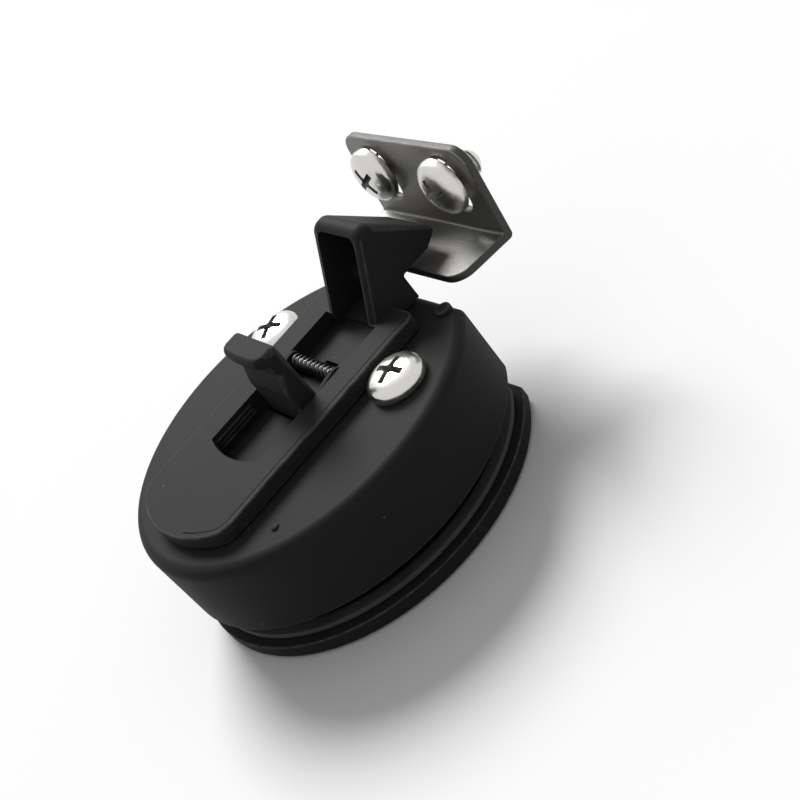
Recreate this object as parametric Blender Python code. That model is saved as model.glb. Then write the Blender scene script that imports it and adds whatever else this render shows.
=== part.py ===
"""Flush slam latch with its angle strike.

Rear housing, sliding hooked bolt, thumb lever, front bezel with pull paddle, and the
strike that the hook catches. Metres, +Z out of the door's inner face, +Y towards the strike.
Sizes below are in the latch frame: z = 0 is the door's inner face, x = 0 the symmetry plane.
"""
import math

import bmesh
import bpy
from mathutils import Matrix, Vector

MM = 0.001

# clearances
GAP = 0.3 * MM
SLOT_GAP = 0.4 * MM
SWING_GAP = 0.35 * MM
PIN_GAP = 0.15 * MM
HEAD_GAP = 0.1 * MM
THREAD_GAP = 0.2 * MM
OVERLAP = 1.0 * MM

# screws, their recess and the threaded inserts
SHANK_RADIUS = 2.0 * MM
HEAD_RADIUS = 4.05 * MM
HEAD_HEIGHT = 2.5 * MM
BODY_SCREW_LENGTH = 13.0 * MM
BODY_SCREW_Y = 3.0 * MM
RECESS_HALF_LENGTH = 2.35 * MM
RECESS_HALF_WIDTH = 0.42 * MM
RECESS_DEPTH = 1.7 * MM
RECESS_RIM_DEPTH = 0.35 * MM
RECESS_TIP_HALF_LENGTH = 0.8 * MM
INSERT_WALL = 0.3 * MM
INSERT_LENGTH = 6.2 * MM
INSERT_BOSS_WALL = 1.0 * MM
HOUSING_BOSS_WALL = 1.5 * MM
BOSS_SPLIT_Z = 4.5 * MM

# front bezel and its finger cup
DOOR_THICKNESS = 4.0 * MM
FLANGE_THICKNESS = 2.5 * MM
FLANGE_EDGE = 0.9 * MM
CUP_HALF_WIDTH = 9.8 * MM
CUP_FAR_Y = 9.0 * MM
CUP_WALL = 1.6 * MM
CUP_CORNER = 3.4 * MM
CUP_OPENING_CORNER = 1.2 * MM
CUP_FLOOR_Z = 0.6 * MM
CUP_FLOOR_THICKNESS = 1.4 * MM

# gasket
GASKET_INSET = 1.2 * MM
GASKET_WIDTH = 1.8 * MM
GASKET_THICKNESS = 0.8 * MM

# rear housing
HOUSING_NEAR_MARGIN = 6.5 * MM
HOUSING_FAR_MARGIN = 5.4 * MM
HOUSING_SIDE_MARGIN = 3.5 * MM
HOUSING_TRIM = 4.3 * MM
HOUSING_HEIGHT = 12.0 * MM
HOUSING_TOP_WALL = 2.6 * MM
HOUSING_SIDE_WALL = 2.2 * MM
HOUSING_EDGE = 1.8 * MM
SLOT_CORNER = 0.8 * MM
PIP_RADIUS = 0.55 * MM
PIP_HEIGHT = 0.35 * MM
PIP_MARGIN = 4.4 * MM
PIP_FROM_NEAR = 11.7 * MM
LUG_RADIUS = 1.1 * MM
LUG_HEIGHT = 0.7 * MM
LUG_MARGIN = 0.3 * MM

# return spring of the bolt and its seat
BOLT_TRAVEL = 6.0 * MM
BOLT_SPRING_SOLID = 3.6 * MM
BOLT_SPRING_RADIUS = 1.8 * MM
BOLT_SPRING_WIRE = 0.3 * MM
BOLT_SPRING_TURNS = 5.5
BOLT_SPRING_Z = 5.3 * MM
SPRING_SEAT_DEPTH = 2.9 * MM
SPRING_SEAT_HALF_WIDTH = 4.0 * MM

# bolt
PLATE_THICKNESS = 2.1 * MM
PLATE_EDGE = 0.5 * MM
BOLT_END_MARGIN = 3.4 * MM
BOLT_END_RADIUS = 17.0 * MM
BOLT_NEAR_CORNER = 3.6 * MM
BOLT_FAR_CORNER = 1.6 * MM
RAIL_WIDTH = 4.8 * MM
WINDOW_HALF_WIDTH = 6.1 * MM
TRAY_WALL = 1.2 * MM
TRAY_END_WALL = 1.7 * MM
TRAY_FLOOR_THICKNESS = 1.6 * MM
HOOK_HALF_WIDTH = 5.8 * MM
HOOK_WALL = 1.3 * MM
HOOK_FRONT_WALL = 1.8 * MM
HOOK_DEPTH = 7.4 * MM
HOOK_HEIGHT = 10.9 * MM
HOOK_CROWN_RADIUS = 1.6 * MM
HOOK_CROWN_LENGTH = 1.7 * MM
HOOK_BACK_RUN = 5.95 * MM
NECK_SETBACK = 0.6 * MM
NECK_RADIUS = 0.5 * MM
NOSE_REACH = 7.6 * MM
NOSE_RISE = 1.2 * MM
NOSE_FACE = 2.0 * MM
NOSE_RADIUS = 1.7 * MM
NOSE_SLOPE_RADIUS = 0.8 * MM
NOSE_FLOOR = 1.4 * MM
NOSE_SLOPE_WALL = 2.0 * MM
LEG_WIDTH = 2.1 * MM
LEG_THICKNESS = 2.2 * MM
LEG_FLOOR_GAP = 1.0 * MM

# bolt keeper and its screws
KEEPER_THICKNESS = 1.9 * MM
KEEPER_OVERHANG = 1.9 * MM
KEEPER_CORNER = 1.5 * MM
KEEPER_SETBACK = 1.0 * MM
KEEPER_LIP_HALF_WIDTH = 3.2 * MM
KEEPER_LIP_THICKNESS = 1.6 * MM
KEEPER_LIP_GAP = 1.2 * MM
KEEPER_SCREW_X = 4.2 * MM
KEEPER_SCREW_MARGIN = 2.6 * MM
KEEPER_END_MARGIN = 4.8 * MM
KEEPER_SCREW_RADIUS = 0.75 * MM
KEEPER_HEAD_RADIUS = 1.9 * MM
KEEPER_HEAD_HEIGHT = 1.2 * MM
KEEPER_THREAD_DEPTH = 1.2 * MM

# thumb lever, its pin and its spring
LEVER_PIVOT_Y = 0.1 * MM
LEVER_PIVOT_HEIGHT = 1.2 * MM
LEVER_PIN_RADIUS = 0.55 * MM
LEVER_PIN_GRIP = 2.0 * MM
LEVER_KNUCKLE_RADIUS = 1.5 * MM
LEVER_CHEEK = 0.85 * MM
LEVER_POST_REACH = 3.4 * MM
LEVER_POST_THICKNESS = 3.2 * MM
LEVER_EAR_HEIGHT = 8.7 * MM
LEVER_LIP = 0.3 * MM
LEVER_LIP_DROP = 1.5 * MM
LEVER_FOOT_DEPTH = 2.6 * MM
LEVER_FOOT_THICKNESS = 1.2 * MM
LEVER_TAIL_HALF_WIDTH = 1.6 * MM
LEVER_TAIL_HALF_THICKNESS = 0.9 * MM
LEVER_TAIL_ROOT = 3.4 * MM
LEVER_TIP_RADIUS = 1.0 * MM
LEVER_TIP_GAP = 1.1 * MM
LEVER_SPRING_RADIUS = 0.9 * MM
LEVER_SPRING_WIRE = 0.25 * MM
LEVER_SPRING_TURNS = 8.5
POCKET_CLEARANCE = 0.5 * MM
POCKET_WALL = 1.2 * MM
POCKET_RIM = 1.3 * MM
POST_SIDE = 0.3 * MM

# pull paddle, its pin and its spring
PADDLE_HINGE_SETBACK = 3.5 * MM
PADDLE_HINGE_DEPTH = 3.9 * MM
PADDLE_PIN_RADIUS = 1.05 * MM
PADDLE_PIN_END = 0.6 * MM
PADDLE_SIDE_GAP = 0.4 * MM
PADDLE_FACE_DEPTH = 0.2 * MM
PADDLE_THICKNESS = 1.6 * MM
PADDLE_CORNER = 2.4 * MM
PADDLE_NOSE = 1.3 * MM
FINGER_RECESS = 10.2 * MM
PADDLE_LIP_INSET = 1.6 * MM
PADDLE_LIP_DEPTH = 1.5 * MM
PADDLE_LIP_CORNER = 0.6 * MM
PADDLE_HUB_RADIUS = 2.3 * MM
PADDLE_HUB_INNER_X = 2.0 * MM
PADDLE_HUB_SIDE = 0.8 * MM
ARM_THICKNESS = 2.4 * MM
ARM_OFFSET = 0.05 * MM
ARM_EDGE = 0.5 * MM
ARM_CEILING_GAP = 1.6 * MM
PADDLE_SPRING_RADIUS = 1.6 * MM
PADDLE_SPRING_WIRE = 0.22 * MM
PADDLE_SPRING_TURNS = 4.5
PADDLE_SPRING_LENGTH = 2.8 * MM

# strike
STRIKE_LEAN = math.radians(6.0)
STRIKE_THICKNESS = 1.2 * MM
STRIKE_FLANGE = 9.0 * MM
STRIKE_FLANGE_GAP = 0.66 * MM
STRIKE_NECK_GAP = 2.25 * MM
STRIKE_BEND = 0.7 * MM
STRIKE_CORNER = 2.8 * MM
STRIKE_HOLE_X = 8.0 * MM
STRIKE_HOLE_Z = 7.8 * MM
STRIKE_SLOT_DOWN = 4.6 * MM
STRIKE_SLOT_UP = 3.4 * MM
STRIKE_TOP_MARGIN = 1.8 * MM
STRIKE_SIDE_MARGIN = 6.0 * MM
STRIKE_HEAD_GAP = 0.5 * MM
STRIKE_SCREW_LENGTH = 5.3 * MM

# levels
HOUSING_TOP = HOUSING_HEIGHT
HOUSING_CEILING = HOUSING_HEIGHT - HOUSING_TOP_WALL
BEZEL_REAR = -DOOR_THICKNESS
BEZEL_FRONT = BEZEL_REAR - FLANGE_THICKNESS
CUP_FLOOR_TOP = CUP_FLOOR_Z + CUP_FLOOR_THICKNESS
PLATE_BOTTOM = HOUSING_TOP + GAP
PLATE_TOP = PLATE_BOTTOM + PLATE_THICKNESS
TRAY_BOTTOM = HOUSING_CEILING + 0.2 * MM
KEEPER_TOP = HOUSING_CEILING - GAP
KEEPER_BOTTOM = KEEPER_TOP - KEEPER_THICKNESS
NOSE_UNDERSIDE_Z = PLATE_TOP + NOSE_RISE
HOOK_TOP_Z = PLATE_TOP + HOOK_HEIGHT
LEVER_PIVOT_Z = PLATE_BOTTOM + LEVER_PIVOT_HEIGHT
LEVER_TIP_Z = CUP_FLOOR_TOP + LEVER_TIP_GAP + LEVER_TIP_RADIUS
LEVER_TAIL = LEVER_PIVOT_Z - LEVER_TIP_Z
PADDLE_PIVOT_Z = BEZEL_FRONT + PADDLE_HINGE_DEPTH
ARM_TOP_Z = TRAY_BOTTOM - ARM_CEILING_GAP
LEG_BOTTOM_Z = CUP_FLOOR_TOP + LEG_FLOOR_GAP

# swings that the bolt's travel asks of the lever and the paddle
LEVER_SWING = math.asin(BOLT_TRAVEL / LEVER_TAIL)
PADDLE_SWING = math.atan(BOLT_TRAVEL / ((LEG_BOTTOM_Z + ARM_TOP_Z) / 2 - PADDLE_PIVOT_Z))

# widths
SLOT_HALF_WIDTH = WINDOW_HALF_WIDTH + TRAY_WALL + SLOT_GAP
TRAY_HALF_WIDTH = WINDOW_HALF_WIDTH + TRAY_WALL
BOLT_HALF_WIDTH = WINDOW_HALF_WIDTH + RAIL_WIDTH
KEEPER_HALF_WIDTH = SLOT_HALF_WIDTH + KEEPER_OVERHANG
BODY_SCREW_X = BOLT_HALF_WIDTH + HEAD_RADIUS + PIN_GAP
INSERT_RADIUS = SHANK_RADIUS + THREAD_GAP + INSERT_WALL
BOSS_RADIUS = INSERT_RADIUS + HOUSING_BOSS_WALL
HOUSING_HALF_WIDTH = BODY_SCREW_X + BOSS_RADIUS + HOUSING_SIDE_WALL + HOUSING_SIDE_MARGIN
LEVER_CHEEK_OUTER = WINDOW_HALF_WIDTH - GAP
LEVER_CHEEK_INNER = LEVER_CHEEK_OUTER - LEVER_CHEEK
LEVER_HALF_WIDTH = LEVER_CHEEK_INNER + LEVER_CHEEK * 0.3
POST_HALF_WIDTH = LEVER_TAIL_HALF_WIDTH + POST_SIDE
LEG_INNER_X = POST_HALF_WIDTH + SLOT_GAP
LEG_OUTER_X = LEG_INNER_X + LEG_WIDTH
PADDLE_HALF_WIDTH = CUP_HALF_WIDTH - PADDLE_SIDE_GAP
STRIKE_HALF_WIDTH = STRIKE_HOLE_X + STRIKE_SIDE_MARGIN

# places along the bolt's travel
LEVER_POST_FAR_Y = LEVER_PIVOT_Y - LEVER_POST_REACH
LEVER_POST_NEAR_Y = LEVER_POST_FAR_Y - LEVER_POST_THICKNESS
LEVER_OPENING_Y = LEVER_POST_NEAR_Y - 1.5 * MM
KEEPER_NOTCH_Y = LEVER_OPENING_Y - 1.6 * MM
KEEPER_SCREW_Y = KEEPER_NOTCH_Y - KEEPER_SCREW_MARGIN
KEEPER_NEAR_Y = KEEPER_SCREW_Y - KEEPER_END_MARGIN
TRAY_NEAR_Y = KEEPER_NEAR_Y - KEEPER_SETBACK
WINDOW_NEAR_Y = TRAY_NEAR_Y + TRAY_END_WALL
SPRING_SEAT_Y = KEEPER_NEAR_Y - BOLT_TRAVEL - BOLT_SPRING_SOLID - 2 * GAP
HOUSING_NEAR_Y = SPRING_SEAT_Y - SPRING_SEAT_DEPTH - HOUSING_SIDE_WALL
CUP_NEAR_Y = HOUSING_NEAR_Y + HOUSING_NEAR_MARGIN + CUP_WALL
HOUSING_FLAT_Y = CUP_FAR_Y + CUP_WALL + HOUSING_FAR_MARGIN
HOUSING_HALF_LENGTH = (HOUSING_FLAT_Y + HOUSING_TRIM - HOUSING_NEAR_Y) / 2
HOUSING_CENTRE_Y = HOUSING_NEAR_Y + HOUSING_HALF_LENGTH
BOLT_NEAR_Y = HOUSING_NEAR_Y + BOLT_END_MARGIN
NECK_Y = HOUSING_FLAT_Y - NECK_SETBACK
NOSE_TIP_Y = NECK_Y + NOSE_REACH
HOOK_BACK_Y = NECK_Y - HOOK_DEPTH
BOLT_FAR_Y = NECK_Y - 3.8 * MM
TRAY_FAR_Y = HOOK_BACK_Y + 1.5 * MM
SLOT_NEAR_Y = TRAY_NEAR_Y - BOLT_TRAVEL - SLOT_GAP
SLOT_FAR_Y = TRAY_FAR_Y + SLOT_GAP
PADDLE_PIVOT_Y = CUP_FAR_Y - PADDLE_HINGE_SETBACK
PADDLE_FAR_Y = PADDLE_PIVOT_Y + PADDLE_NOSE
PADDLE_NEAR_Y = CUP_NEAR_Y + FINGER_RECESS
ARM_NEAR_Y = PADDLE_PIVOT_Y - ARM_THICKNESS / 2 + ARM_OFFSET
LEG_FAR_Y = ARM_NEAR_Y - SWING_GAP
LEG_NEAR_Y = LEG_FAR_Y - LEG_THICKNESS
STRIKE_FOLD_Y = NECK_Y + STRIKE_NECK_GAP + STRIKE_FLANGE * math.cos(STRIKE_LEAN)
STRIKE_FOLD_Z = NOSE_UNDERSIDE_Z - STRIKE_FLANGE_GAP - STRIKE_FLANGE * math.sin(STRIKE_LEAN)
STRIKE_HEIGHT = STRIKE_HOLE_Z + STRIKE_SLOT_UP + STRIKE_TOP_MARGIN

# the frame's origin lies under the latch frame's, in the plane of the bezel's front face
FRAME_ORIGIN = Vector((0.0, 0.0, -BEZEL_FRONT))


def clear_scene():
    """Remove what the file holds so that the script can run again."""
    for obj in list(bpy.data.objects):
        bpy.data.objects.remove(obj, do_unlink=True)


def material(name, colour, roughness, metallic=0.0):
    """Principled material with one colour."""
    mat = bpy.data.materials.new(name)
    mat.use_nodes = True
    shader = mat.node_tree.nodes["Principled BSDF"]
    shader.inputs["Base Color"].default_value = (*colour, 1.0)
    shader.inputs["Roughness"].default_value = roughness
    shader.inputs["Metallic"].default_value = metallic
    mat.diffuse_color = (*colour, 1.0)
    return mat


def empty(name, location, parent=None):
    """Empty that carries the pieces of one moving body."""
    obj = bpy.data.objects.new(name, None)
    obj.empty_display_size = 0.005
    obj.location = location
    obj.parent = parent
    bpy.context.scene.collection.objects.link(obj)
    return obj


def prism(points, axis, low, high):
    """Extrude a closed outline along x, y or z. Outlines for x are (y, z) pairs."""
    bm = bmesh.new()
    order = {"x": (2, 0, 1), "y": (0, 2, 1), "z": (0, 1, 2)}[axis]

    def place(pair, height):
        raw = (pair[0], pair[1], height)
        return Vector((raw[order[0]], raw[order[1]], raw[order[2]]))

    verts = [bm.verts.new(place(pair, low)) for pair in points]
    face = bm.faces.new(verts)
    grown = bmesh.ops.extrude_face_region(bm, geom=[face])
    moved = [item for item in grown["geom"] if isinstance(item, bmesh.types.BMVert)]
    bmesh.ops.translate(bm, vec=place((0.0, 0.0), high - low), verts=moved)
    bmesh.ops.recalc_face_normals(bm, faces=bm.faces)
    return bm


def box(x, y, z):
    """Box from three (low, high) pairs."""
    size = Vector((x[1] - x[0], y[1] - y[0], z[1] - z[0]))
    centre = Vector((x[0] + x[1], y[0] + y[1], z[0] + z[1])) / 2
    bm = bmesh.new()
    bmesh.ops.create_cube(bm, size=1.0, matrix=Matrix.Translation(centre) @ Matrix.Diagonal((*size, 1.0)))
    return bm


def span(half):
    """The (low, high) pair of a width centred on the symmetry plane."""
    return -half, half


def sided(side, inner, outer):
    """The (low, high) pair of a stretch of x on the left (-1) or right (1) side."""
    return tuple(sorted((side * inner, side * outer)))


def cylinder(radius, start, end, segments=32):
    """Capped cylinder between two points on a line parallel to one axis."""
    start, end = Vector(start), Vector(end)
    along = end - start
    turn = along.to_track_quat("Z", "Y").to_matrix().to_4x4()
    bm = bmesh.new()
    bmesh.ops.create_cone(
        bm, cap_ends=True, cap_tris=False, segments=segments, radius1=radius, radius2=radius,
        depth=along.length, matrix=Matrix.Translation((start + end) / 2) @ turn,
    )
    return bm


def upright(radius, x, y, low, high, segments=32):
    """Capped cylinder that stands along z."""
    return cylinder(radius, (x, y, low), (x, y, high), segments)


def across(radius, y, z, low, high, segments=24):
    """Capped cylinder that lies along x."""
    return cylinder(radius, (low, y, z), (high, y, z), segments)


def bevel_where(bm, test, offset, segments=1):
    """Bevel the edges whose two ends both pass the test."""
    edges = [e for e in bm.edges if all(test(v.co) for v in e.verts)]
    bmesh.ops.bevel(
        bm, geom=edges, offset=offset, offset_type="OFFSET", segments=segments,
        profile=0.5, affect="EDGES", material=-1, clamp_overlap=True,
    )
    return bm


def arc(cx, cy, radius, first, sweep, steps):
    """Points along a circle, angles in radians."""
    angles = [first + sweep * step / steps for step in range(steps + 1)]
    return [(cx + radius * math.cos(angle), cy + radius * math.sin(angle)) for angle in angles]


def rounded(corners, steps=4):
    """Outline from (a, b, radius) corners, each with a radius rounded by an arc."""
    points = []
    for index, (a, b, radius) in enumerate(corners):
        here = Vector((a, b))
        before = Vector(corners[index - 1][:2]) - here
        after = Vector(corners[(index + 1) % len(corners)][:2]) - here
        if radius == 0:
            points.append((a, b))
            continue
        half = before.angle(after) / 2
        reach = radius / math.tan(half)
        start = here + before.normalized() * reach
        end = here + after.normalized() * reach
        middle = (before.normalized() + after.normalized()).normalized()
        centre = here + middle * radius / math.sin(half)
        first = math.atan2(start.y - centre.y, start.x - centre.x)
        last = math.atan2(end.y - centre.y, end.x - centre.x)
        sweep = (last - first + math.pi) % (2 * math.pi) - math.pi
        points += arc(centre.x, centre.y, radius, first, sweep, steps)
    return points


def rounded_rectangle(x, y, radius, steps=6):
    """Outline of a rectangle, given as two (low, high) pairs, with round corners."""
    corners = [(x[1], y[0]), (x[1], y[1]), (x[0], y[1]), (x[0], y[0])]
    return rounded([(*corner, radius) for corner in corners], steps)


def housing_outline(inset=0.0, steps=60):
    """Oval cut straight across at its far end, drawn clockwise from the far right corner."""
    a = HOUSING_HALF_WIDTH - inset
    b = HOUSING_HALF_LENGTH - inset
    start = math.asin((HOUSING_FLAT_Y - inset - HOUSING_CENTRE_Y) / b)
    angles = [start - (math.pi + 2 * start) * step / steps for step in range(steps + 1)]
    return [(a * math.cos(angle), HOUSING_CENTRE_Y + b * math.sin(angle)) for angle in angles]


def housing_corner_x():
    """Where the oval meets the straight far side."""
    reach = (HOUSING_FLAT_Y - HOUSING_CENTRE_Y) / HOUSING_HALF_LENGTH
    return HOUSING_HALF_WIDTH * math.sqrt(1 - reach ** 2)


def bolt_outline():
    """Long plate with a shallow round near end and small far corners."""
    # the corner circle touches the side line and, from inside, the end circle
    centre_y = BOLT_NEAR_Y + BOLT_END_RADIUS
    cx = BOLT_HALF_WIDTH - BOLT_NEAR_CORNER
    drop = math.sqrt((BOLT_END_RADIUS - BOLT_NEAR_CORNER) ** 2 - cx ** 2)
    meet = math.atan2(cx, drop)
    right = arc(0.0, centre_y, BOLT_END_RADIUS, -math.pi / 2, meet, 6)
    right += arc(cx, centre_y - drop, BOLT_NEAR_CORNER, meet - math.pi / 2, math.pi / 2 - meet, 6)[1:]
    far = BOLT_FAR_CORNER
    right += arc(BOLT_HALF_WIDTH - far, BOLT_FAR_Y - far, far, 0.0, math.pi / 2, 4)
    return right + [(-x, y) for x, y in reversed(right[1:])]


def window_outline(far):
    """Rectangle whose near side is bowed outwards like the plate's end."""
    reach = math.asin(WINDOW_HALF_WIDTH / BOLT_END_RADIUS)
    bow = arc(0.0, WINDOW_NEAR_Y + BOLT_END_RADIUS, BOLT_END_RADIUS, -math.pi / 2 - reach, 2 * reach, 8)
    return bow + [(WINDOW_HALF_WIDTH, far), (-WINDOW_HALF_WIDTH, far)]


class Piece:
    """One solid: a base mesh with added and removed helpers as exact Booleans."""

    def __init__(self, name, bm, mat, parent):
        self.name = name
        self.parent = parent
        self.count = 0
        self.obj = self._object(name, bm)
        self.obj.data.materials.append(mat)

    def _object(self, name, bm):
        bmesh.ops.translate(bm, vec=-world_of(self.parent), verts=bm.verts)
        bmesh.ops.recalc_face_normals(bm, faces=bm.faces)
        mesh = bpy.data.meshes.new(name)
        bm.to_mesh(mesh)
        bm.free()
        obj = bpy.data.objects.new(name, mesh)
        obj.parent = self.parent
        bpy.context.scene.collection.objects.link(obj)
        return obj

    def _helper(self, bm, operation):
        self.count += 1
        helper = self._object(f"{self.name}_{operation.lower()}_{self.count}", bm)
        helper.hide_render = True
        helper.display_type = "WIRE"
        modifier = self.obj.modifiers.new(helper.name, "BOOLEAN")
        modifier.operation = operation
        modifier.solver = "EXACT"
        modifier.object = helper

    def add(self, bm):
        """Join a further solid."""
        self._helper(bm, "UNION")

    def cut(self, bm):
        """Remove a solid."""
        self._helper(bm, "DIFFERENCE")

    def done(self):
        """Shade the piece smooth where its faces turn gently."""
        self.obj.data.shade_smooth()
        self.obj.data.set_sharp_from_angle(angle=math.radians(35))
        return self.obj


def world_of(parent):
    """Position of an empty in the latch frame, before the frame's own shift."""
    total = Vector((0.0, 0.0, 0.0))
    while parent is not None and parent.name != "latch_frame":
        total += parent.location
        parent = parent.parent
    return total


def coil(name, mat, parent, centre, axis, length, radius, wire, turns):
    """Closed wire coil along x or y as a bevelled curve."""
    steps = int(turns * 10)
    curve = bpy.data.curves.new(name, "CURVE")
    curve.dimensions = "3D"
    curve.bevel_depth = wire
    curve.bevel_resolution = 1
    curve.use_fill_caps = True
    spline = curve.splines.new("POLY")
    spline.points.add(steps)
    offset = Vector(centre) - world_of(parent)
    for step, point in enumerate(spline.points):
        angle = 2 * math.pi * turns * step / steps
        along = length * (step / steps - 0.5)
        u, v = radius * math.cos(angle), radius * math.sin(angle)
        where = Vector((along, u, v)) if axis == "x" else Vector((u, along, v))
        point.co = (*(where + offset), 1.0)
    curve.materials.append(mat)
    obj = bpy.data.objects.new(name, curve)
    obj.parent = parent
    bpy.context.scene.collection.objects.link(obj)
    return obj


def facing(seat, direction):
    """Matrix that puts the z axis of a turned piece at its seat, along a direction."""
    return Matrix.Translation(seat) @ Vector(direction).to_track_quat("Z", "Y").to_matrix().to_4x4()


def pan_head(place, radius, height, shank_radius, length):
    """Pan-head screw turned about its own axis, its head above the seat."""
    profile = [
        (0.0, -length), (shank_radius * 0.55, -length), (shank_radius, -length + shank_radius * 0.8),
        (shank_radius, 0.0), (radius, 0.0), (radius, height * 0.26), (radius * 0.93, height * 0.55),
        (radius * 0.75, height * 0.82), (radius * 0.45, height * 0.96), (0.0, height),
    ]
    bm = bmesh.new()
    verts = [bm.verts.new((x, 0.0, z)) for x, z in profile]
    edges = [bm.edges.new(pair) for pair in zip(verts, verts[1:])]
    bmesh.ops.spin(
        bm, geom=verts + edges, cent=(0, 0, 0), axis=(0, 0, 1), angle=2 * math.pi, steps=28, use_merge=True,
    )
    bmesh.ops.remove_doubles(bm, verts=bm.verts, dist=1e-7)
    bmesh.ops.transform(bm, matrix=place, verts=bm.verts)
    return bm


def cross_blade(place, turn):
    """One tapered blade of the cross recess."""
    rim, floor, above = HEAD_HEIGHT - RECESS_RIM_DEPTH, HEAD_HEIGHT - RECESS_DEPTH, HEAD_HEIGHT + OVERLAP
    outline = [
        (-RECESS_HALF_LENGTH, above), (-RECESS_HALF_LENGTH, rim), (-RECESS_TIP_HALF_LENGTH, floor),
        (RECESS_TIP_HALF_LENGTH, floor), (RECESS_HALF_LENGTH, rim), (RECESS_HALF_LENGTH, above),
    ]
    bm = prism(outline, "y", -RECESS_HALF_WIDTH, RECESS_HALF_WIDTH)
    bmesh.ops.transform(bm, matrix=place @ Matrix.Rotation(turn, 4, "Z"), verts=bm.verts)
    return bm


def screw(name, mat, parent, place, length, turn):
    """Pan-head screw with a cross recess."""
    piece = Piece(name, pan_head(place, HEAD_RADIUS, HEAD_HEIGHT, SHANK_RADIUS, length), mat, parent)
    for quarter in (0, 1):
        piece.cut(cross_blade(place, turn + quarter * math.pi / 2))
    return piece.done()


def build_housing(mat, frame):
    """Oval rear shell, open below, slotted for the bolt."""
    body = prism(housing_outline(), "z", 0.0, HOUSING_TOP)
    bevel_where(body, lambda co: co.z > HOUSING_TOP - 1e-6, HOUSING_EDGE, 3)
    piece = Piece("rear_housing", body, mat, frame)
    piece.cut(prism(housing_outline(HOUSING_SIDE_WALL), "z", -OVERLAP, HOUSING_CEILING))
    slot = rounded_rectangle(span(SLOT_HALF_WIDTH), (SLOT_NEAR_Y, SLOT_FAR_Y), SLOT_CORNER, 3)
    piece.cut(prism(slot, "z", HOUSING_CEILING - OVERLAP, HOUSING_TOP + OVERLAP))
    for side in (-1, 1):
        x = side * BODY_SCREW_X
        piece.add(upright(BOSS_RADIUS, x, BODY_SCREW_Y, BOSS_SPLIT_Z, HOUSING_TOP - OVERLAP))
    # seat of the bolt's return spring, joined to the near wall and the ceiling
    seat = (HOUSING_NEAR_Y + HOUSING_SIDE_WALL - GAP, SPRING_SEAT_Y)
    seat_bottom = CUP_FLOOR_TOP + OVERLAP
    piece.add(box(span(SPRING_SEAT_HALF_WIDTH), seat, (seat_bottom, HOUSING_CEILING + 2 * GAP)))
    for side in (-1, 1):
        x = side * BODY_SCREW_X
        low, high = BOSS_SPLIT_Z - OVERLAP, HOUSING_TOP + OVERLAP
        piece.cut(upright(SHANK_RADIUS + GAP, x, BODY_SCREW_Y, low, high))
    pip_x, pip_y = BOLT_HALF_WIDTH + PIP_MARGIN, HOUSING_NEAR_Y + PIP_FROM_NEAR
    piece.add(upright(PIP_RADIUS, pip_x, pip_y, HOUSING_TOP - OVERLAP, HOUSING_TOP + PIP_HEIGHT, 12))
    for side in (-1, 1):
        x = side * (housing_corner_x() - LUG_RADIUS - LUG_MARGIN)
        y = HOUSING_FLAT_Y - LUG_RADIUS - SLOT_GAP
        piece.add(upright(LUG_RADIUS, x, y, HOUSING_CEILING + SLOT_GAP, HOUSING_TOP + LUG_HEIGHT, 20))
    return piece.done()


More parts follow.
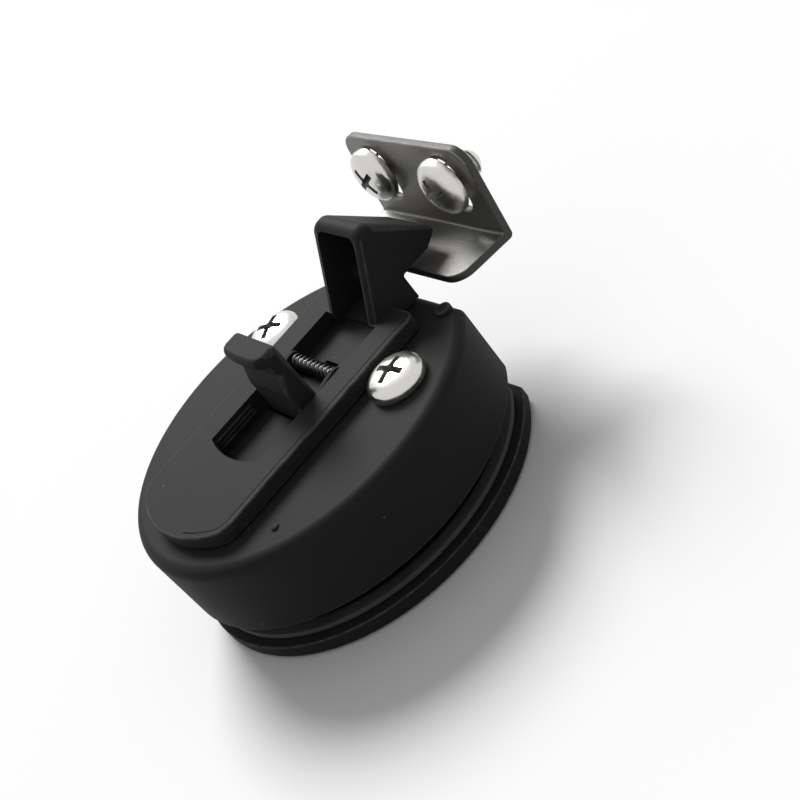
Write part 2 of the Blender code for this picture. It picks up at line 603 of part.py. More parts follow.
def build_bezel(mat, frame):
    """Front flange with the finger cup, hinge cheeks, screw bosses and the lever's pocket."""
    flange = prism(housing_outline(), "z", BEZEL_FRONT, BEZEL_REAR)
    bevel_where(flange, lambda co: co.z < BEZEL_FRONT + 1e-6, FLANGE_EDGE, 2)
    piece = Piece("front_bezel", flange, mat, frame)
    outer_y = (CUP_NEAR_Y - CUP_WALL, CUP_FAR_Y + CUP_WALL)
    outer = rounded_rectangle(span(CUP_HALF_WIDTH + CUP_WALL), outer_y, CUP_CORNER + CUP_WALL)
    piece.add(prism(outer, "z", BEZEL_REAR - OVERLAP, CUP_FLOOR_TOP))
    boss = INSERT_RADIUS + INSERT_BOSS_WALL
    for side in (-1, 1):
        x = side * BODY_SCREW_X
        piece.add(upright(boss, x, BODY_SCREW_Y, BEZEL_REAR - 2 * GAP, BOSS_SPLIT_Z - GAP))
    inner = rounded_rectangle(span(CUP_HALF_WIDTH), (CUP_NEAR_Y, CUP_FAR_Y), CUP_CORNER)
    piece.cut(prism(inner, "z", BEZEL_FRONT - OVERLAP, CUP_FLOOR_Z))
    behind = rounded_rectangle(span(CUP_HALF_WIDTH), (cup_floor_end(), CUP_FAR_Y), CUP_OPENING_CORNER, 3)
    piece.cut(prism(behind, "z", CUP_FLOOR_Z - OVERLAP, CUP_FLOOR_TOP + OVERLAP))
    # pocket that holds the tip of the thumb lever's tail
    tip = LEVER_TIP_RADIUS + POCKET_CLEARANCE
    low, high = LEVER_PIVOT_Y - tip, LEVER_PIVOT_Y + tip
    tip_travel = LEVER_TAIL * (1 - math.cos(LEVER_SWING))
    post_top = LEVER_TIP_Z + tip_travel + POCKET_RIM
    post_y = (low - POCKET_WALL, high + POCKET_WALL)
    piece.add(box(span(POST_HALF_WIDTH), post_y, (CUP_FLOOR_Z + GAP, post_top)))
    past = POST_HALF_WIDTH + OVERLAP
    piece.cut(box(span(past), (low, high), (CUP_FLOOR_TOP + GAP, post_top + OVERLAP)))
    # the near wall stops lower, below the swinging foot of the lever
    near = (low - POCKET_WALL - OVERLAP, low + POCKET_CLEARANCE)
    piece.cut(box(span(past), near, (post_top - 1.6 * MM, post_top + OVERLAP)))
    for side in (-1, 1):
        x = side * BODY_SCREW_X
        bottom = insert_bottom() - GAP
        piece.cut(upright(INSERT_RADIUS + GAP, x, BODY_SCREW_Y, bottom, BOSS_SPLIT_Z + OVERLAP))
    reach = CUP_HALF_WIDTH + CUP_WALL + OVERLAP
    piece.cut(across(PADDLE_PIN_RADIUS + GAP, PADDLE_PIVOT_Y, PADDLE_PIVOT_Z, -reach, reach))
    return piece.done()


def cup_floor_end():
    """How far the cup's floor reaches before it meets the paddle's fully swung arms."""
    centre = PADDLE_PIVOT_Y + ARM_OFFSET - (CUP_FLOOR_TOP - PADDLE_PIVOT_Z) * math.tan(PADDLE_SWING)
    return centre - ARM_THICKNESS / 2 / math.cos(PADDLE_SWING) - SWING_GAP


def insert_bottom():
    """Lower end of the threaded inserts."""
    return BOSS_SPLIT_Z - GAP - HEAD_GAP - INSERT_LENGTH


def tail_reach(z):
    """Far side of the lever's fully swung tail at a height, relative to the bolt."""
    centre = LEVER_PIVOT_Y + (LEVER_PIVOT_Z - z) * math.tan(LEVER_SWING)
    return centre + LEVER_TAIL_HALF_THICKNESS / math.cos(LEVER_SWING)


def build_gasket(mat, frame):
    """Thin oval seal between the bezel's flange and the door."""
    low = BEZEL_REAR + GAP
    ring = prism(housing_outline(GASKET_INSET), "z", low, low + GASKET_THICKNESS)
    piece = Piece("bezel_gasket", ring, mat, frame)
    hole = housing_outline(GASKET_INSET + GASKET_WIDTH)
    piece.cut(prism(hole, "z", low - OVERLAP, low + GASKET_THICKNESS + OVERLAP))
    return piece.done()


def nose_slope(z):
    """Y of the nose's sloping front at a height, a straight line up to the crown."""
    low = NOSE_UNDERSIDE_Z + NOSE_FACE
    crown_y = HOOK_BACK_Y + HOOK_BACK_RUN + HOOK_CROWN_LENGTH
    return NOSE_TIP_Y + (crown_y - NOSE_TIP_Y) * (z - low) / (HOOK_TOP_Z - low)


def hook_outline():
    """Side view of the hook: neck, nose with sloping front, round crown and sloping back."""
    base = TRAY_BOTTOM + HOOK_WALL
    root = PLATE_BOTTOM + 0.02 * MM
    front_y = nose_slope(HOOK_TOP_Z)
    back_y = HOOK_BACK_Y + HOOK_BACK_RUN
    return rounded([
        (HOOK_BACK_Y, base, 0), (HOOK_BACK_Y + HOOK_WALL, base, 0), (HOOK_BACK_Y + HOOK_WALL, root, 0),
        (NECK_Y, root, 0), (NECK_Y, NOSE_UNDERSIDE_Z, NECK_RADIUS),
        (NOSE_TIP_Y, NOSE_UNDERSIDE_Z, NOSE_RADIUS), (NOSE_TIP_Y, NOSE_UNDERSIDE_Z + NOSE_FACE, 0),
        (front_y, HOOK_TOP_Z, HOOK_CROWN_RADIUS), (back_y, HOOK_TOP_Z, HOOK_CROWN_RADIUS),
        (HOOK_BACK_Y, PLATE_TOP, 0),
    ])


def hook_pocket():
    """Side view of the hollow that opens at the hook's back."""
    low = PLATE_BOTTOM + 0.7 * MM
    step_y = NECK_Y - HOOK_FRONT_WALL
    step_z = NOSE_UNDERSIDE_Z + NOSE_FLOOR
    top = HOOK_TOP_Z - HOOK_FRONT_WALL
    slope = NOSE_TIP_Y - nose_slope(HOOK_TOP_Z)
    back = NOSE_SLOPE_WALL * math.hypot(slope, HOOK_TOP_Z - step_z) / (HOOK_TOP_Z - step_z)
    return rounded([
        (HOOK_BACK_Y - 3.0 * MM, low, 0), (step_y, low, 0), (step_y, step_z, 0),
        (nose_slope(step_z + OVERLAP) - back, step_z, 0),
        (nose_slope(step_z + OVERLAP) - back, step_z + OVERLAP, 0),
        (nose_slope(top) - back, top, NOSE_SLOPE_RADIUS), (HOOK_BACK_Y + 4.2 * MM, top, 0),
        (HOOK_BACK_Y - 3.0 * MM, top - 3.5 * MM, 0),
    ])


def build_bolt(mat, body):
    """Hooked slide: plate with window, tray through the housing's slot, hollow hook, driving legs."""
    plate = prism(bolt_outline(), "z", PLATE_BOTTOM, PLATE_TOP)
    bevel_where(plate, lambda co: co.z > PLATE_TOP - 1e-6, PLATE_EDGE, 1)
    piece = Piece("slide_bolt", plate, mat, body)
    tray = box(span(TRAY_HALF_WIDTH), (TRAY_NEAR_Y, TRAY_FAR_Y), (TRAY_BOTTOM, PLATE_BOTTOM + PLATE_EDGE))
    piece.add(tray)
    for side in (-1, 1):
        leg_z = (LEG_BOTTOM_Z, TRAY_BOTTOM + OVERLAP)
        piece.add(box(sided(side, LEG_INNER_X, LEG_OUTER_X), (LEG_NEAR_Y, LEG_FAR_Y), leg_z))
    piece.add(prism(hook_outline(), "x", -HOOK_HALF_WIDTH, HOOK_HALF_WIDTH))
    inside = HOOK_HALF_WIDTH - HOOK_WALL
    piece.cut(prism(hook_pocket(), "x", -inside, inside))
    wide = span(WINDOW_HALF_WIDTH)
    above = PLATE_TOP + OVERLAP
    below = TRAY_BOTTOM - OVERLAP
    window = window_outline(LEVER_OPENING_Y + SLOT_GAP)
    piece.cut(prism(window, "z", TRAY_BOTTOM + TRAY_FLOOR_THICKNESS, above))
    piece.cut(box(wide, (LEVER_OPENING_Y, LEG_NEAR_Y), (below, above)))
    piece.cut(box(wide, (LEG_NEAR_Y - PLATE_EDGE, HOOK_BACK_Y), (HOUSING_TOP, above)))
    # slot in the floor between the legs, as far as the lever's tail swings
    slot = span(POST_HALF_WIDTH + HEAD_GAP)
    step_z = HOUSING_TOP - 2 * GAP
    piece.cut(box(slot, (LEG_NEAR_Y - OVERLAP, tail_reach(TRAY_BOTTOM) + SWING_GAP), (below, step_z)))
    piece.cut(box(slot, (LEG_NEAR_Y - OVERLAP, tail_reach(step_z) + GAP), (below, PLATE_TOP)))
    reach = WINDOW_HALF_WIDTH + LEVER_PIN_GRIP + PIN_GAP
    piece.cut(across(LEVER_PIN_RADIUS + PIN_GAP, LEVER_PIVOT_Y, LEVER_PIVOT_Z, -reach, reach, 16))
    for side in (-1, 1):
        x = side * KEEPER_SCREW_X
        thread = KEEPER_SCREW_RADIUS + THREAD_GAP
        piece.cut(upright(thread, x, KEEPER_SCREW_Y, below, TRAY_BOTTOM + KEEPER_THREAD_DEPTH, 16))
    return piece.done()


def build_keeper(mat, body):
    """U-shaped plate under the housing's top that holds the bolt down."""
    plan = rounded_rectangle(span(KEEPER_HALF_WIDTH), (KEEPER_NEAR_Y, HOOK_BACK_Y), KEEPER_CORNER, 3)
    piece = Piece("bolt_keeper", prism(plan, "z", KEEPER_BOTTOM, KEEPER_TOP), mat, body)
    lip_y = (KEEPER_NEAR_Y, KEEPER_NEAR_Y + KEEPER_LIP_THICKNESS)
    lip_z = (CUP_FLOOR_TOP + KEEPER_LIP_GAP, KEEPER_BOTTOM + 2 * GAP)
    piece.add(box(span(KEEPER_LIP_HALF_WIDTH), lip_y, lip_z))
    low, high = KEEPER_BOTTOM - OVERLAP, KEEPER_TOP + OVERLAP
    notch = span(WINDOW_HALF_WIDTH - PLATE_EDGE)
    piece.cut(box(notch, (KEEPER_NOTCH_Y, HOOK_BACK_Y + OVERLAP), (low, high)))
    hole = KEEPER_SCREW_RADIUS + SWING_GAP
    for side in (-1, 1):
        piece.cut(upright(hole, side * KEEPER_SCREW_X, KEEPER_SCREW_Y, low, high, 16))
    return piece.done()


def build_keeper_screw(name, side, mat, body):
    """Small pan screw from below into the tray's floor."""
    seat = (side * KEEPER_SCREW_X, KEEPER_SCREW_Y, KEEPER_BOTTOM - 0.05 * MM)
    length = KEEPER_THICKNESS + KEEPER_THREAD_DEPTH
    place = facing(seat, (0.0, 0.0, -1.0))
    bm = pan_head(place, KEEPER_HEAD_RADIUS, KEEPER_HEAD_HEIGHT, KEEPER_SCREW_RADIUS, length)
    return Piece(name, bm, mat, body).done()


def lever_post():
    """Side view of the lever's foot, post and ear with its rounded lip."""
    far, near = LEVER_POST_FAR_Y, LEVER_POST_NEAR_Y
    foot_z = LEVER_PIVOT_Z - LEVER_FOOT_DEPTH
    foot_top = foot_z + LEVER_FOOT_THICKNESS
    toe_y = LEVER_PIVOT_Y - OVERLAP
    top = PLATE_TOP + LEVER_EAR_HEIGHT
    return rounded([
        (near, foot_z, 0), (toe_y, foot_z, 0), (toe_y, foot_top, 0), (far, foot_top, 0.5 * MM),
        (far, top, 1.3 * MM), (near - LEVER_LIP + 1.1 * MM, top, 0.9 * MM),
        (near - LEVER_LIP, top - LEVER_LIP_DROP, 0.6 * MM), (near - LEVER_LIP, top - 2.2 * MM, 0),
        (near, top - 2.7 * MM, 0),
    ])


def build_lever(mat, body):
    """Thumb lever: ear, post, foot under the coil, knuckles on the pin and a tail."""
    y, z = LEVER_PIVOT_Y, LEVER_PIVOT_Z
    piece = Piece("thumb_lever", prism(lever_post(), "x", -LEVER_HALF_WIDTH, LEVER_HALF_WIDTH), mat, body)
    cheek = [
        (LEVER_POST_FAR_Y - SLOT_GAP, z - 1.7 * MM), (y - 0.7 * MM, z - 1.1 * MM),
        (y - 0.2 * MM, z + 1.1 * MM), (LEVER_POST_FAR_Y - SLOT_GAP, z + 0.6 * MM),
    ]
    for side in (-1, 1):
        low, high = sided(side, LEVER_CHEEK_INNER, LEVER_CHEEK_OUTER)
        piece.add(prism(cheek, "x", low, high))
        piece.add(across(LEVER_KNUCKLE_RADIUS, y, z, low, high))
    foot_z = z - LEVER_FOOT_DEPTH
    root_y = y - LEVER_TAIL_ROOT + 0.7 * MM
    half = LEVER_TAIL_HALF_THICKNESS
    tail = [
        (root_y, foot_z + LEVER_FOOT_THICKNESS - 0.05 * MM), (root_y, foot_z + 0.05 * MM),
        (y - half - 0.1 * MM, z - 3.9 * MM), (y - half, LEVER_TIP_Z), (y + half, LEVER_TIP_Z),
        (y + half, z - 2.1 * MM), (y + 0.4 * MM, foot_z + LEVER_FOOT_THICKNESS - 0.05 * MM),
    ]
    piece.add(prism(tail, "x", -LEVER_TAIL_HALF_WIDTH, LEVER_TAIL_HALF_WIDTH))
    tip = LEVER_TAIL_HALF_WIDTH - 0.01 * MM
    piece.add(across(LEVER_TIP_RADIUS, y, LEVER_TIP_Z, -tip, tip))
    bore = LEVER_CHEEK_OUTER + OVERLAP
    piece.cut(across(LEVER_PIN_RADIUS + PIN_GAP, y, z, -bore, bore, 16))
    return piece.done()


def build_paddle(mat, body):
    """Flush pull paddle: face plate with finger lip, hubs on the pin and two driving arms."""
    low = BEZEL_FRONT + PADDLE_FACE_DEPTH
    face = rounded_rectangle(span(PADDLE_HALF_WIDTH), (PADDLE_NEAR_Y, PADDLE_FAR_Y), PADDLE_CORNER)
    piece = Piece("pull_paddle", prism(face, "z", low, low + PADDLE_THICKNESS), mat, body)
    lip_y = (PADDLE_NEAR_Y + 0.02 * MM, PADDLE_NEAR_Y + PADDLE_LIP_INSET)
    lip = rounded_rectangle(span(PADDLE_HALF_WIDTH - PADDLE_LIP_INSET), lip_y, PADDLE_LIP_CORNER, 3)
    piece.add(prism(lip, "z", low + GAP, low + PADDLE_THICKNESS + PADDLE_LIP_DEPTH))
    y, z = PADDLE_PIVOT_Y, PADDLE_PIVOT_Z
    for side in (-1, 1):
        hub = sided(side, PADDLE_HUB_INNER_X, PADDLE_HALF_WIDTH - PADDLE_HUB_SIDE)
        piece.add(across(PADDLE_HUB_RADIUS, y, z, *hub, 28))
        arm_y = (ARM_NEAR_Y, ARM_NEAR_Y + ARM_THICKNESS)
        arm = box(sided(side, LEG_INNER_X, LEG_OUTER_X - HEAD_GAP), arm_y, (z, ARM_TOP_Z))
        bevel_where(arm, lambda co: co.z > ARM_TOP_Z - 1e-6, ARM_EDGE, 2)
        piece.add(arm)
    reach = PADDLE_HALF_WIDTH + OVERLAP
    piece.cut(across(PADDLE_PIN_RADIUS + GAP, y, z, -reach, reach))
    return piece.done()


def strike_matrix():
    """Place of the strike: fold line over the door's edge, leaning back."""
    place = Matrix.Translation((0.0, STRIKE_FOLD_Y, STRIKE_FOLD_Z))
    return place @ Matrix.Rotation(-STRIKE_LEAN, 4, "X")


def build_strike(mat, frame):
    """Angle strike folded from sheet: upright with two slots, flange under the hook's nose."""
    t = STRIKE_THICKNESS
    side_view = [(0.0, 0.0), (0.0, STRIKE_HEIGHT), (t, STRIKE_HEIGHT)]
    side_view += arc(t - STRIKE_BEND, STRIKE_BEND - t, STRIKE_BEND, 0.0, -math.pi / 2, 4)
    side_view += [(-STRIKE_FLANGE, -t), (-STRIKE_FLANGE, 0.0)]
    bm = prism(side_view, "x", -STRIKE_HALF_WIDTH, STRIKE_HALF_WIDTH)

    def is_corner(edge):
        a, b = (v.co for v in edge.verts)
        if abs(a.x - b.x) > 1e-7 or abs(abs(a.x) - STRIKE_HALF_WIDTH) > 1e-7:
            return False
        return min(a.z, b.z) > STRIKE_HEIGHT - 1e-6 or max(a.y, b.y) < 1e-6 - STRIKE_FLANGE

    bmesh.ops.bevel(
        bm, geom=[e for e in bm.edges if is_corner(e)], offset=STRIKE_CORNER, offset_type="OFFSET",
        segments=5, profile=0.5, affect="EDGES", material=-1, clamp_overlap=True,
    )
    bmesh.ops.transform(bm, matrix=strike_matrix(), verts=bm.verts)
    piece = Piece("strike_plate", bm, mat, frame)
    half = SHANK_RADIUS + GAP
    slot_z = (STRIKE_HOLE_Z - STRIKE_SLOT_DOWN, STRIKE_HOLE_Z + STRIKE_SLOT_UP)
    for side in (-1, 1):
        middle = side * STRIKE_HOLE_X
        slot = rounded_rectangle((middle - half, middle + half), slot_z, half - 0.01 * MM, 5)
        cutter = prism(slot, "y", -OVERLAP, t + OVERLAP)
        bmesh.ops.transform(cutter, matrix=strike_matrix(), verts=cutter.verts)
        piece.cut(cutter)
    return piece.done()


def build_strike_screw(name, side, mat, frame):
    """Strike screw, its head standing just off the upright."""
    matrix = strike_matrix()
    seat = matrix @ Vector((side * STRIKE_HOLE_X, -STRIKE_HEAD_GAP, STRIKE_HOLE_Z))
    place = facing(seat, matrix.to_3x3() @ Vector((0.0, -1.0, 0.0)))
    return screw(name, mat, frame, place, STRIKE_SCREW_LENGTH, math.radians(35 if side < 0 else 20))


def build_body_screw(name, side, mat, frame):
    """Body screw from the housing's top down into the bezel's insert."""
    seat = (side * BODY_SCREW_X, BODY_SCREW_Y, HOUSING_TOP + HEAD_GAP)
    place = facing(seat, (0.0, 0.0, 1.0))
    return screw(name, mat, frame, place, BODY_SCREW_LENGTH, math.radians(25 if side < 0 else 10))


def build_insert(name, side, mat, frame):
    """Threaded brass insert in a bezel boss."""
    x = side * BODY_SCREW_X
    low, high = insert_bottom(), insert_bottom() + INSERT_LENGTH
    piece = Piece(name, upright(INSERT_RADIUS, x, BODY_SCREW_Y, low, high, 24), mat, frame)
    piece.cut(upright(SHANK_RADIUS + THREAD_GAP, x, BODY_SCREW_Y, low - OVERLAP, high + OVERLAP, 24))
    return piece.done()


def build_pins(mat, frame, bolt_body):
    """Pins of the thumb lever and the paddle."""
    grip = WINDOW_HALF_WIDTH + LEVER_PIN_GRIP
    lever_pin = across(LEVER_PIN_RADIUS, LEVER_PIVOT_Y, LEVER_PIVOT_Z, -grip, grip, 16)
    Piece("lever_pin", lever_pin, mat, bolt_body).done()
    grip = CUP_HALF_WIDTH + CUP_WALL + PADDLE_PIN_END
    paddle_pin = across(PADDLE_PIN_RADIUS, PADDLE_PIVOT_Y, PADDLE_PIVOT_Z, -grip, grip)
    Piece("paddle_pin", paddle_pin, mat, frame).done()


def build_springs(mat, frame, bolt_body):
    """Return spring of the bolt, and the coils round the two pins."""
    length = 2 * (LEVER_CHEEK_INNER - LEVER_SPRING_WIRE - THREAD_GAP)
    coil("lever_spring", mat, bolt_body, (0.0, LEVER_PIVOT_Y, LEVER_PIVOT_Z), "x", length,
         LEVER_SPRING_RADIUS, LEVER_SPRING_WIRE, LEVER_SPRING_TURNS)
    free = KEEPER_NEAR_Y - SPRING_SEAT_Y
    centre = (0.0, SPRING_SEAT_Y + free / 2, BOLT_SPRING_Z)
    coil("bolt_spring", mat, frame, centre, "y", free - 2 * GAP - 2 * BOLT_SPRING_WIRE,
         BOLT_SPRING_RADIUS, BOLT_SPRING_WIRE, BOLT_SPRING_TURNS)
    coil("paddle_spring", mat, frame, (0.0, PADDLE_PIVOT_Y, PADDLE_PIVOT_Z), "x", PADDLE_SPRING_LENGTH,
         PADDLE_SPRING_RADIUS, PADDLE_SPRING_WIRE, PADDLE_SPRING_TURNS)


def main():
    """Build every piece under the empty that carries its body."""
    clear_scene()
    black = material("black_nylon", (0.035, 0.035, 0.034), 0.55)
    dark = material("black_acetal", (0.03, 0.03, 0.03), 0.5)
    rubber = material("seal_rubber", (0.02, 0.02, 0.02), 0.8)
    nickel = material("nickel_plate", (0.62, 0.61, 0.58), 0.28, 1.0)
    stainless = material("stainless_sheet", (0.5, 0.48, 0.45), 0.35, 1.0)
    steel = material("spring_steel", (0.3, 0.3, 0.3), 0.35, 1.0)
    brass = material("brass", (0.6, 0.45, 0.2), 0.35, 1.0)

    frame = empty("latch_frame", FRAME_ORIGIN)
    bolt_body = empty("bolt_body", (0.0, 0.0, PLATE_BOTTOM), frame)
    lever_body = empty("lever_body", (0.0, LEVER_PIVOT_Y, LEVER_PIVOT_Z - PLATE_BOTTOM), bolt_body)
    paddle_body = empty("paddle_body", (0.0, PADDLE_PIVOT_Y, PADDLE_PIVOT_Z), frame)

    build_housing(black, frame)
    build_bezel(black, frame)
    build_gasket(rubber, frame)
    build_strike(stainless, frame)
    build_bolt(black, bolt_body)
    build_keeper(dark, bolt_body)
    build_lever(black, lever_body)
    build_paddle(black, paddle_body)
    build_pins(steel, frame, bolt_body)
    build_springs(steel, frame, bolt_body)
    for hand, side in (("left", -1), ("right", 1)):
        build_body_screw(f"body_screw_{hand}", side, nickel, frame)
        build_insert(f"insert_{hand}", side, brass, frame)
        build_strike_screw(f"strike_screw_{hand}", side, nickel, frame)
        build_keeper_screw(f"keeper_screw_{hand}", side, steel, bolt_body)


main()
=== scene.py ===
"""Looks of a flush slam latch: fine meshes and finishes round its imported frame.

Pieces are built in the latch frame, in millimetres: z = 0 is the door's inner face, +y points
to the strike and x = 0 is the symmetry plane. Each finished mesh is then put into the row
frame, in metres, lifted by the level of the door's inner face.
"""

import logging
import math
from collections.abc import Callable
from dataclasses import dataclass
from enum import Enum

import bmesh
import bpy
from bmesh.types import BMEdge, BMesh, BMVert
from mathutils import Matrix, Vector


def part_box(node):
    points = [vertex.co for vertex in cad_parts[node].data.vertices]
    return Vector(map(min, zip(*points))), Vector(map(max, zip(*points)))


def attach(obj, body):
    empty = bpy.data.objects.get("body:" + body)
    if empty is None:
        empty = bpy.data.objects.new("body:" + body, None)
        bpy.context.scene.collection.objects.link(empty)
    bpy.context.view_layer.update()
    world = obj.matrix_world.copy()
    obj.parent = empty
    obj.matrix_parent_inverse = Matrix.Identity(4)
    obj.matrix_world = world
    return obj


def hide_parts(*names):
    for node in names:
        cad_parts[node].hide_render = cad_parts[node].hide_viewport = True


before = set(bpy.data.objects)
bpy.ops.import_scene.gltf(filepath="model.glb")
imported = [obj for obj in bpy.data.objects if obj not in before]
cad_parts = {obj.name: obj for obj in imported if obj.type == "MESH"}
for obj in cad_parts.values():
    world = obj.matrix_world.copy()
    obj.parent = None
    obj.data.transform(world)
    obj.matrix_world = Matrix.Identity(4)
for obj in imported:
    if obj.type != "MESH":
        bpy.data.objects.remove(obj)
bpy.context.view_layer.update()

MM = 0.001
DOOR_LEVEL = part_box("rear_housing")[0].z
INTO_FRAME = Matrix.Translation((0.0, 0.0, DOOR_LEVEL)) @ Matrix.Scale(MM, 4)

# Lengths that differ by less are the same, and vertices that lie closer are welded.
NEAR_ZERO = 1e-3
WELD = 1e-4

# How far a cutter reaches past what it cuts, and a joined part into what carries it.
OVERLAP = 1.0

# Keeps two faces, or the ends of two arcs, from falling together.
SLIVER = 0.01

# Faces that meet at more than this angle are shaded sharp, or can be rounded.
SHARP_ANGLE = math.radians(32.0)
ROUNDED_ANGLE = math.radians(20.0)

# Lighter narrow edges, partly real scuffing and partly a painted highlight: a marked strip is this narrow,
# starts to lighten from the first angle and is fully lightened at the second.
WORN_LIT_WIDTH = 0.3
WORN_LIT_ANGLE = math.radians(13.0)
FULLY_WORN_LIT_ANGLE = math.radians(40.0)

COIL_STEPS = 28
WIRE_SIDES = 12
SIDES = (-1, 1)
HANDS = (("left", -1), ("right", 1))
WHOLE = (0.0, 1.0)

log = logging.getLogger("flush_slam_latch")

Point = tuple[float, float]
Corner = tuple[float, float, float]
Span = tuple[float, float]
Triple = tuple[float, float, float]
Colour = tuple[float, float, float]
Test = Callable[[Vector], bool]


class Axis(Enum):
    """Direction of an extrusion, with the order that puts (a, b, height) into x, y and z."""

    X = (2, 0, 1)
    Y = (0, 2, 1)
    Z = (0, 1, 2)

    def place(self, a: float, b: float, height: float) -> Vector:
        """Point of the latch frame for an outline's pair and a height along this axis."""
        raw = (a, b, height)
        return Vector([raw[index] for index in self.value])


class Body(Enum):
    """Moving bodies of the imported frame."""

    HOUSING = "housing"
    BOLT = "bolt"
    LEVER = "lever"
    PADDLE = "paddle"


def near(a: float, b: float) -> bool:
    """True where two lengths are the same but for rounding."""
    return abs(a - b) < NEAR_ZERO


def span(half: float) -> Span:
    """The (low, high) pair of a width centred on the symmetry plane."""
    return -half, half


def sided(side: int, inner: float, outer: float) -> Span:
    """The (low, high) pair of a stretch of x on the left (-1) or right (1) side."""
    low, high = sorted((side * inner, side * outer))
    return low, high


def arc(centre: Point, radius: float, first: float, sweep: float, steps: int) -> list[Point]:
    """Points along a circle.

    Args:
        centre: middle of the circle.
        radius: radius of the circle.
        first: angle of the first point, in radians.
        sweep: angle that the arc turns through, in radians.
        steps: number of steps along the arc.

    Returns:
        The arc's points, both ends included.
    """
    angles = [first + sweep * step / steps for step in range(steps + 1)]
    return [(centre[0] + radius * math.cos(a), centre[1] + radius * math.sin(a)) for a in angles]


def quarter(steps: int) -> list[float]:
    """Angles from 0 to a right angle, both included."""
    return [math.pi / 2 * step / steps for step in range(steps + 1)]


def rounded(corners: list[Corner], steps: int = 10) -> list[Point]:
    """Outline with round corners.

    Args:
        corners: (a, b, radius) of each corner, in order round the outline.
        steps: number of steps along each round corner.

    Returns:
        The outline's points, with an arc at each corner whose radius is above 0.
    """
    points: list[Point] = []
    for index, (a, b, radius) in enumerate(corners):
        here = Vector((a, b))
        before = (Vector(corners[index - 1][:2]) - here).normalized()
        after = (Vector(corners[(index + 1) % len(corners)][:2]) - here).normalized()
        if radius == 0:
            points.append((a, b))
            continue
        half = before.angle(after) / 2
        start = here + before * radius / math.tan(half)
        end = here + after * radius / math.tan(half)
        centre = here + (before + after).normalized() * radius / math.sin(half)
        first = math.atan2(start.y - centre.y, start.x - centre.x)
        last = math.atan2(end.y - centre.y, end.x - centre.x)
        sweep = (last - first + math.pi) % (2 * math.pi) - math.pi
        points += arc((centre.x, centre.y), radius, first, sweep, steps)
    return points


def rounded_rectangle(x: Span, y: Span, radius: float, steps: int = 10) -> list[Point]:
    """Outline of a rectangle, given as two (low, high) pairs, with round corners."""
    corners = [(x[1], y[0]), (x[1], y[1]), (x[0], y[1]), (x[0], y[0])]
    return rounded([(*corner, radius) for corner in corners], steps)


def linked(name: str, data: bpy.types.ID) -> bpy.types.Object:
    """New object of some data, linked to the scene.

    Args:
        name: name of the object.
        data: its mesh, light or camera.

    Returns:
        The object.
    """
    obj = bpy.data.objects.new(name, data)
    bpy.context.scene.collection.objects.link(obj)
    return obj


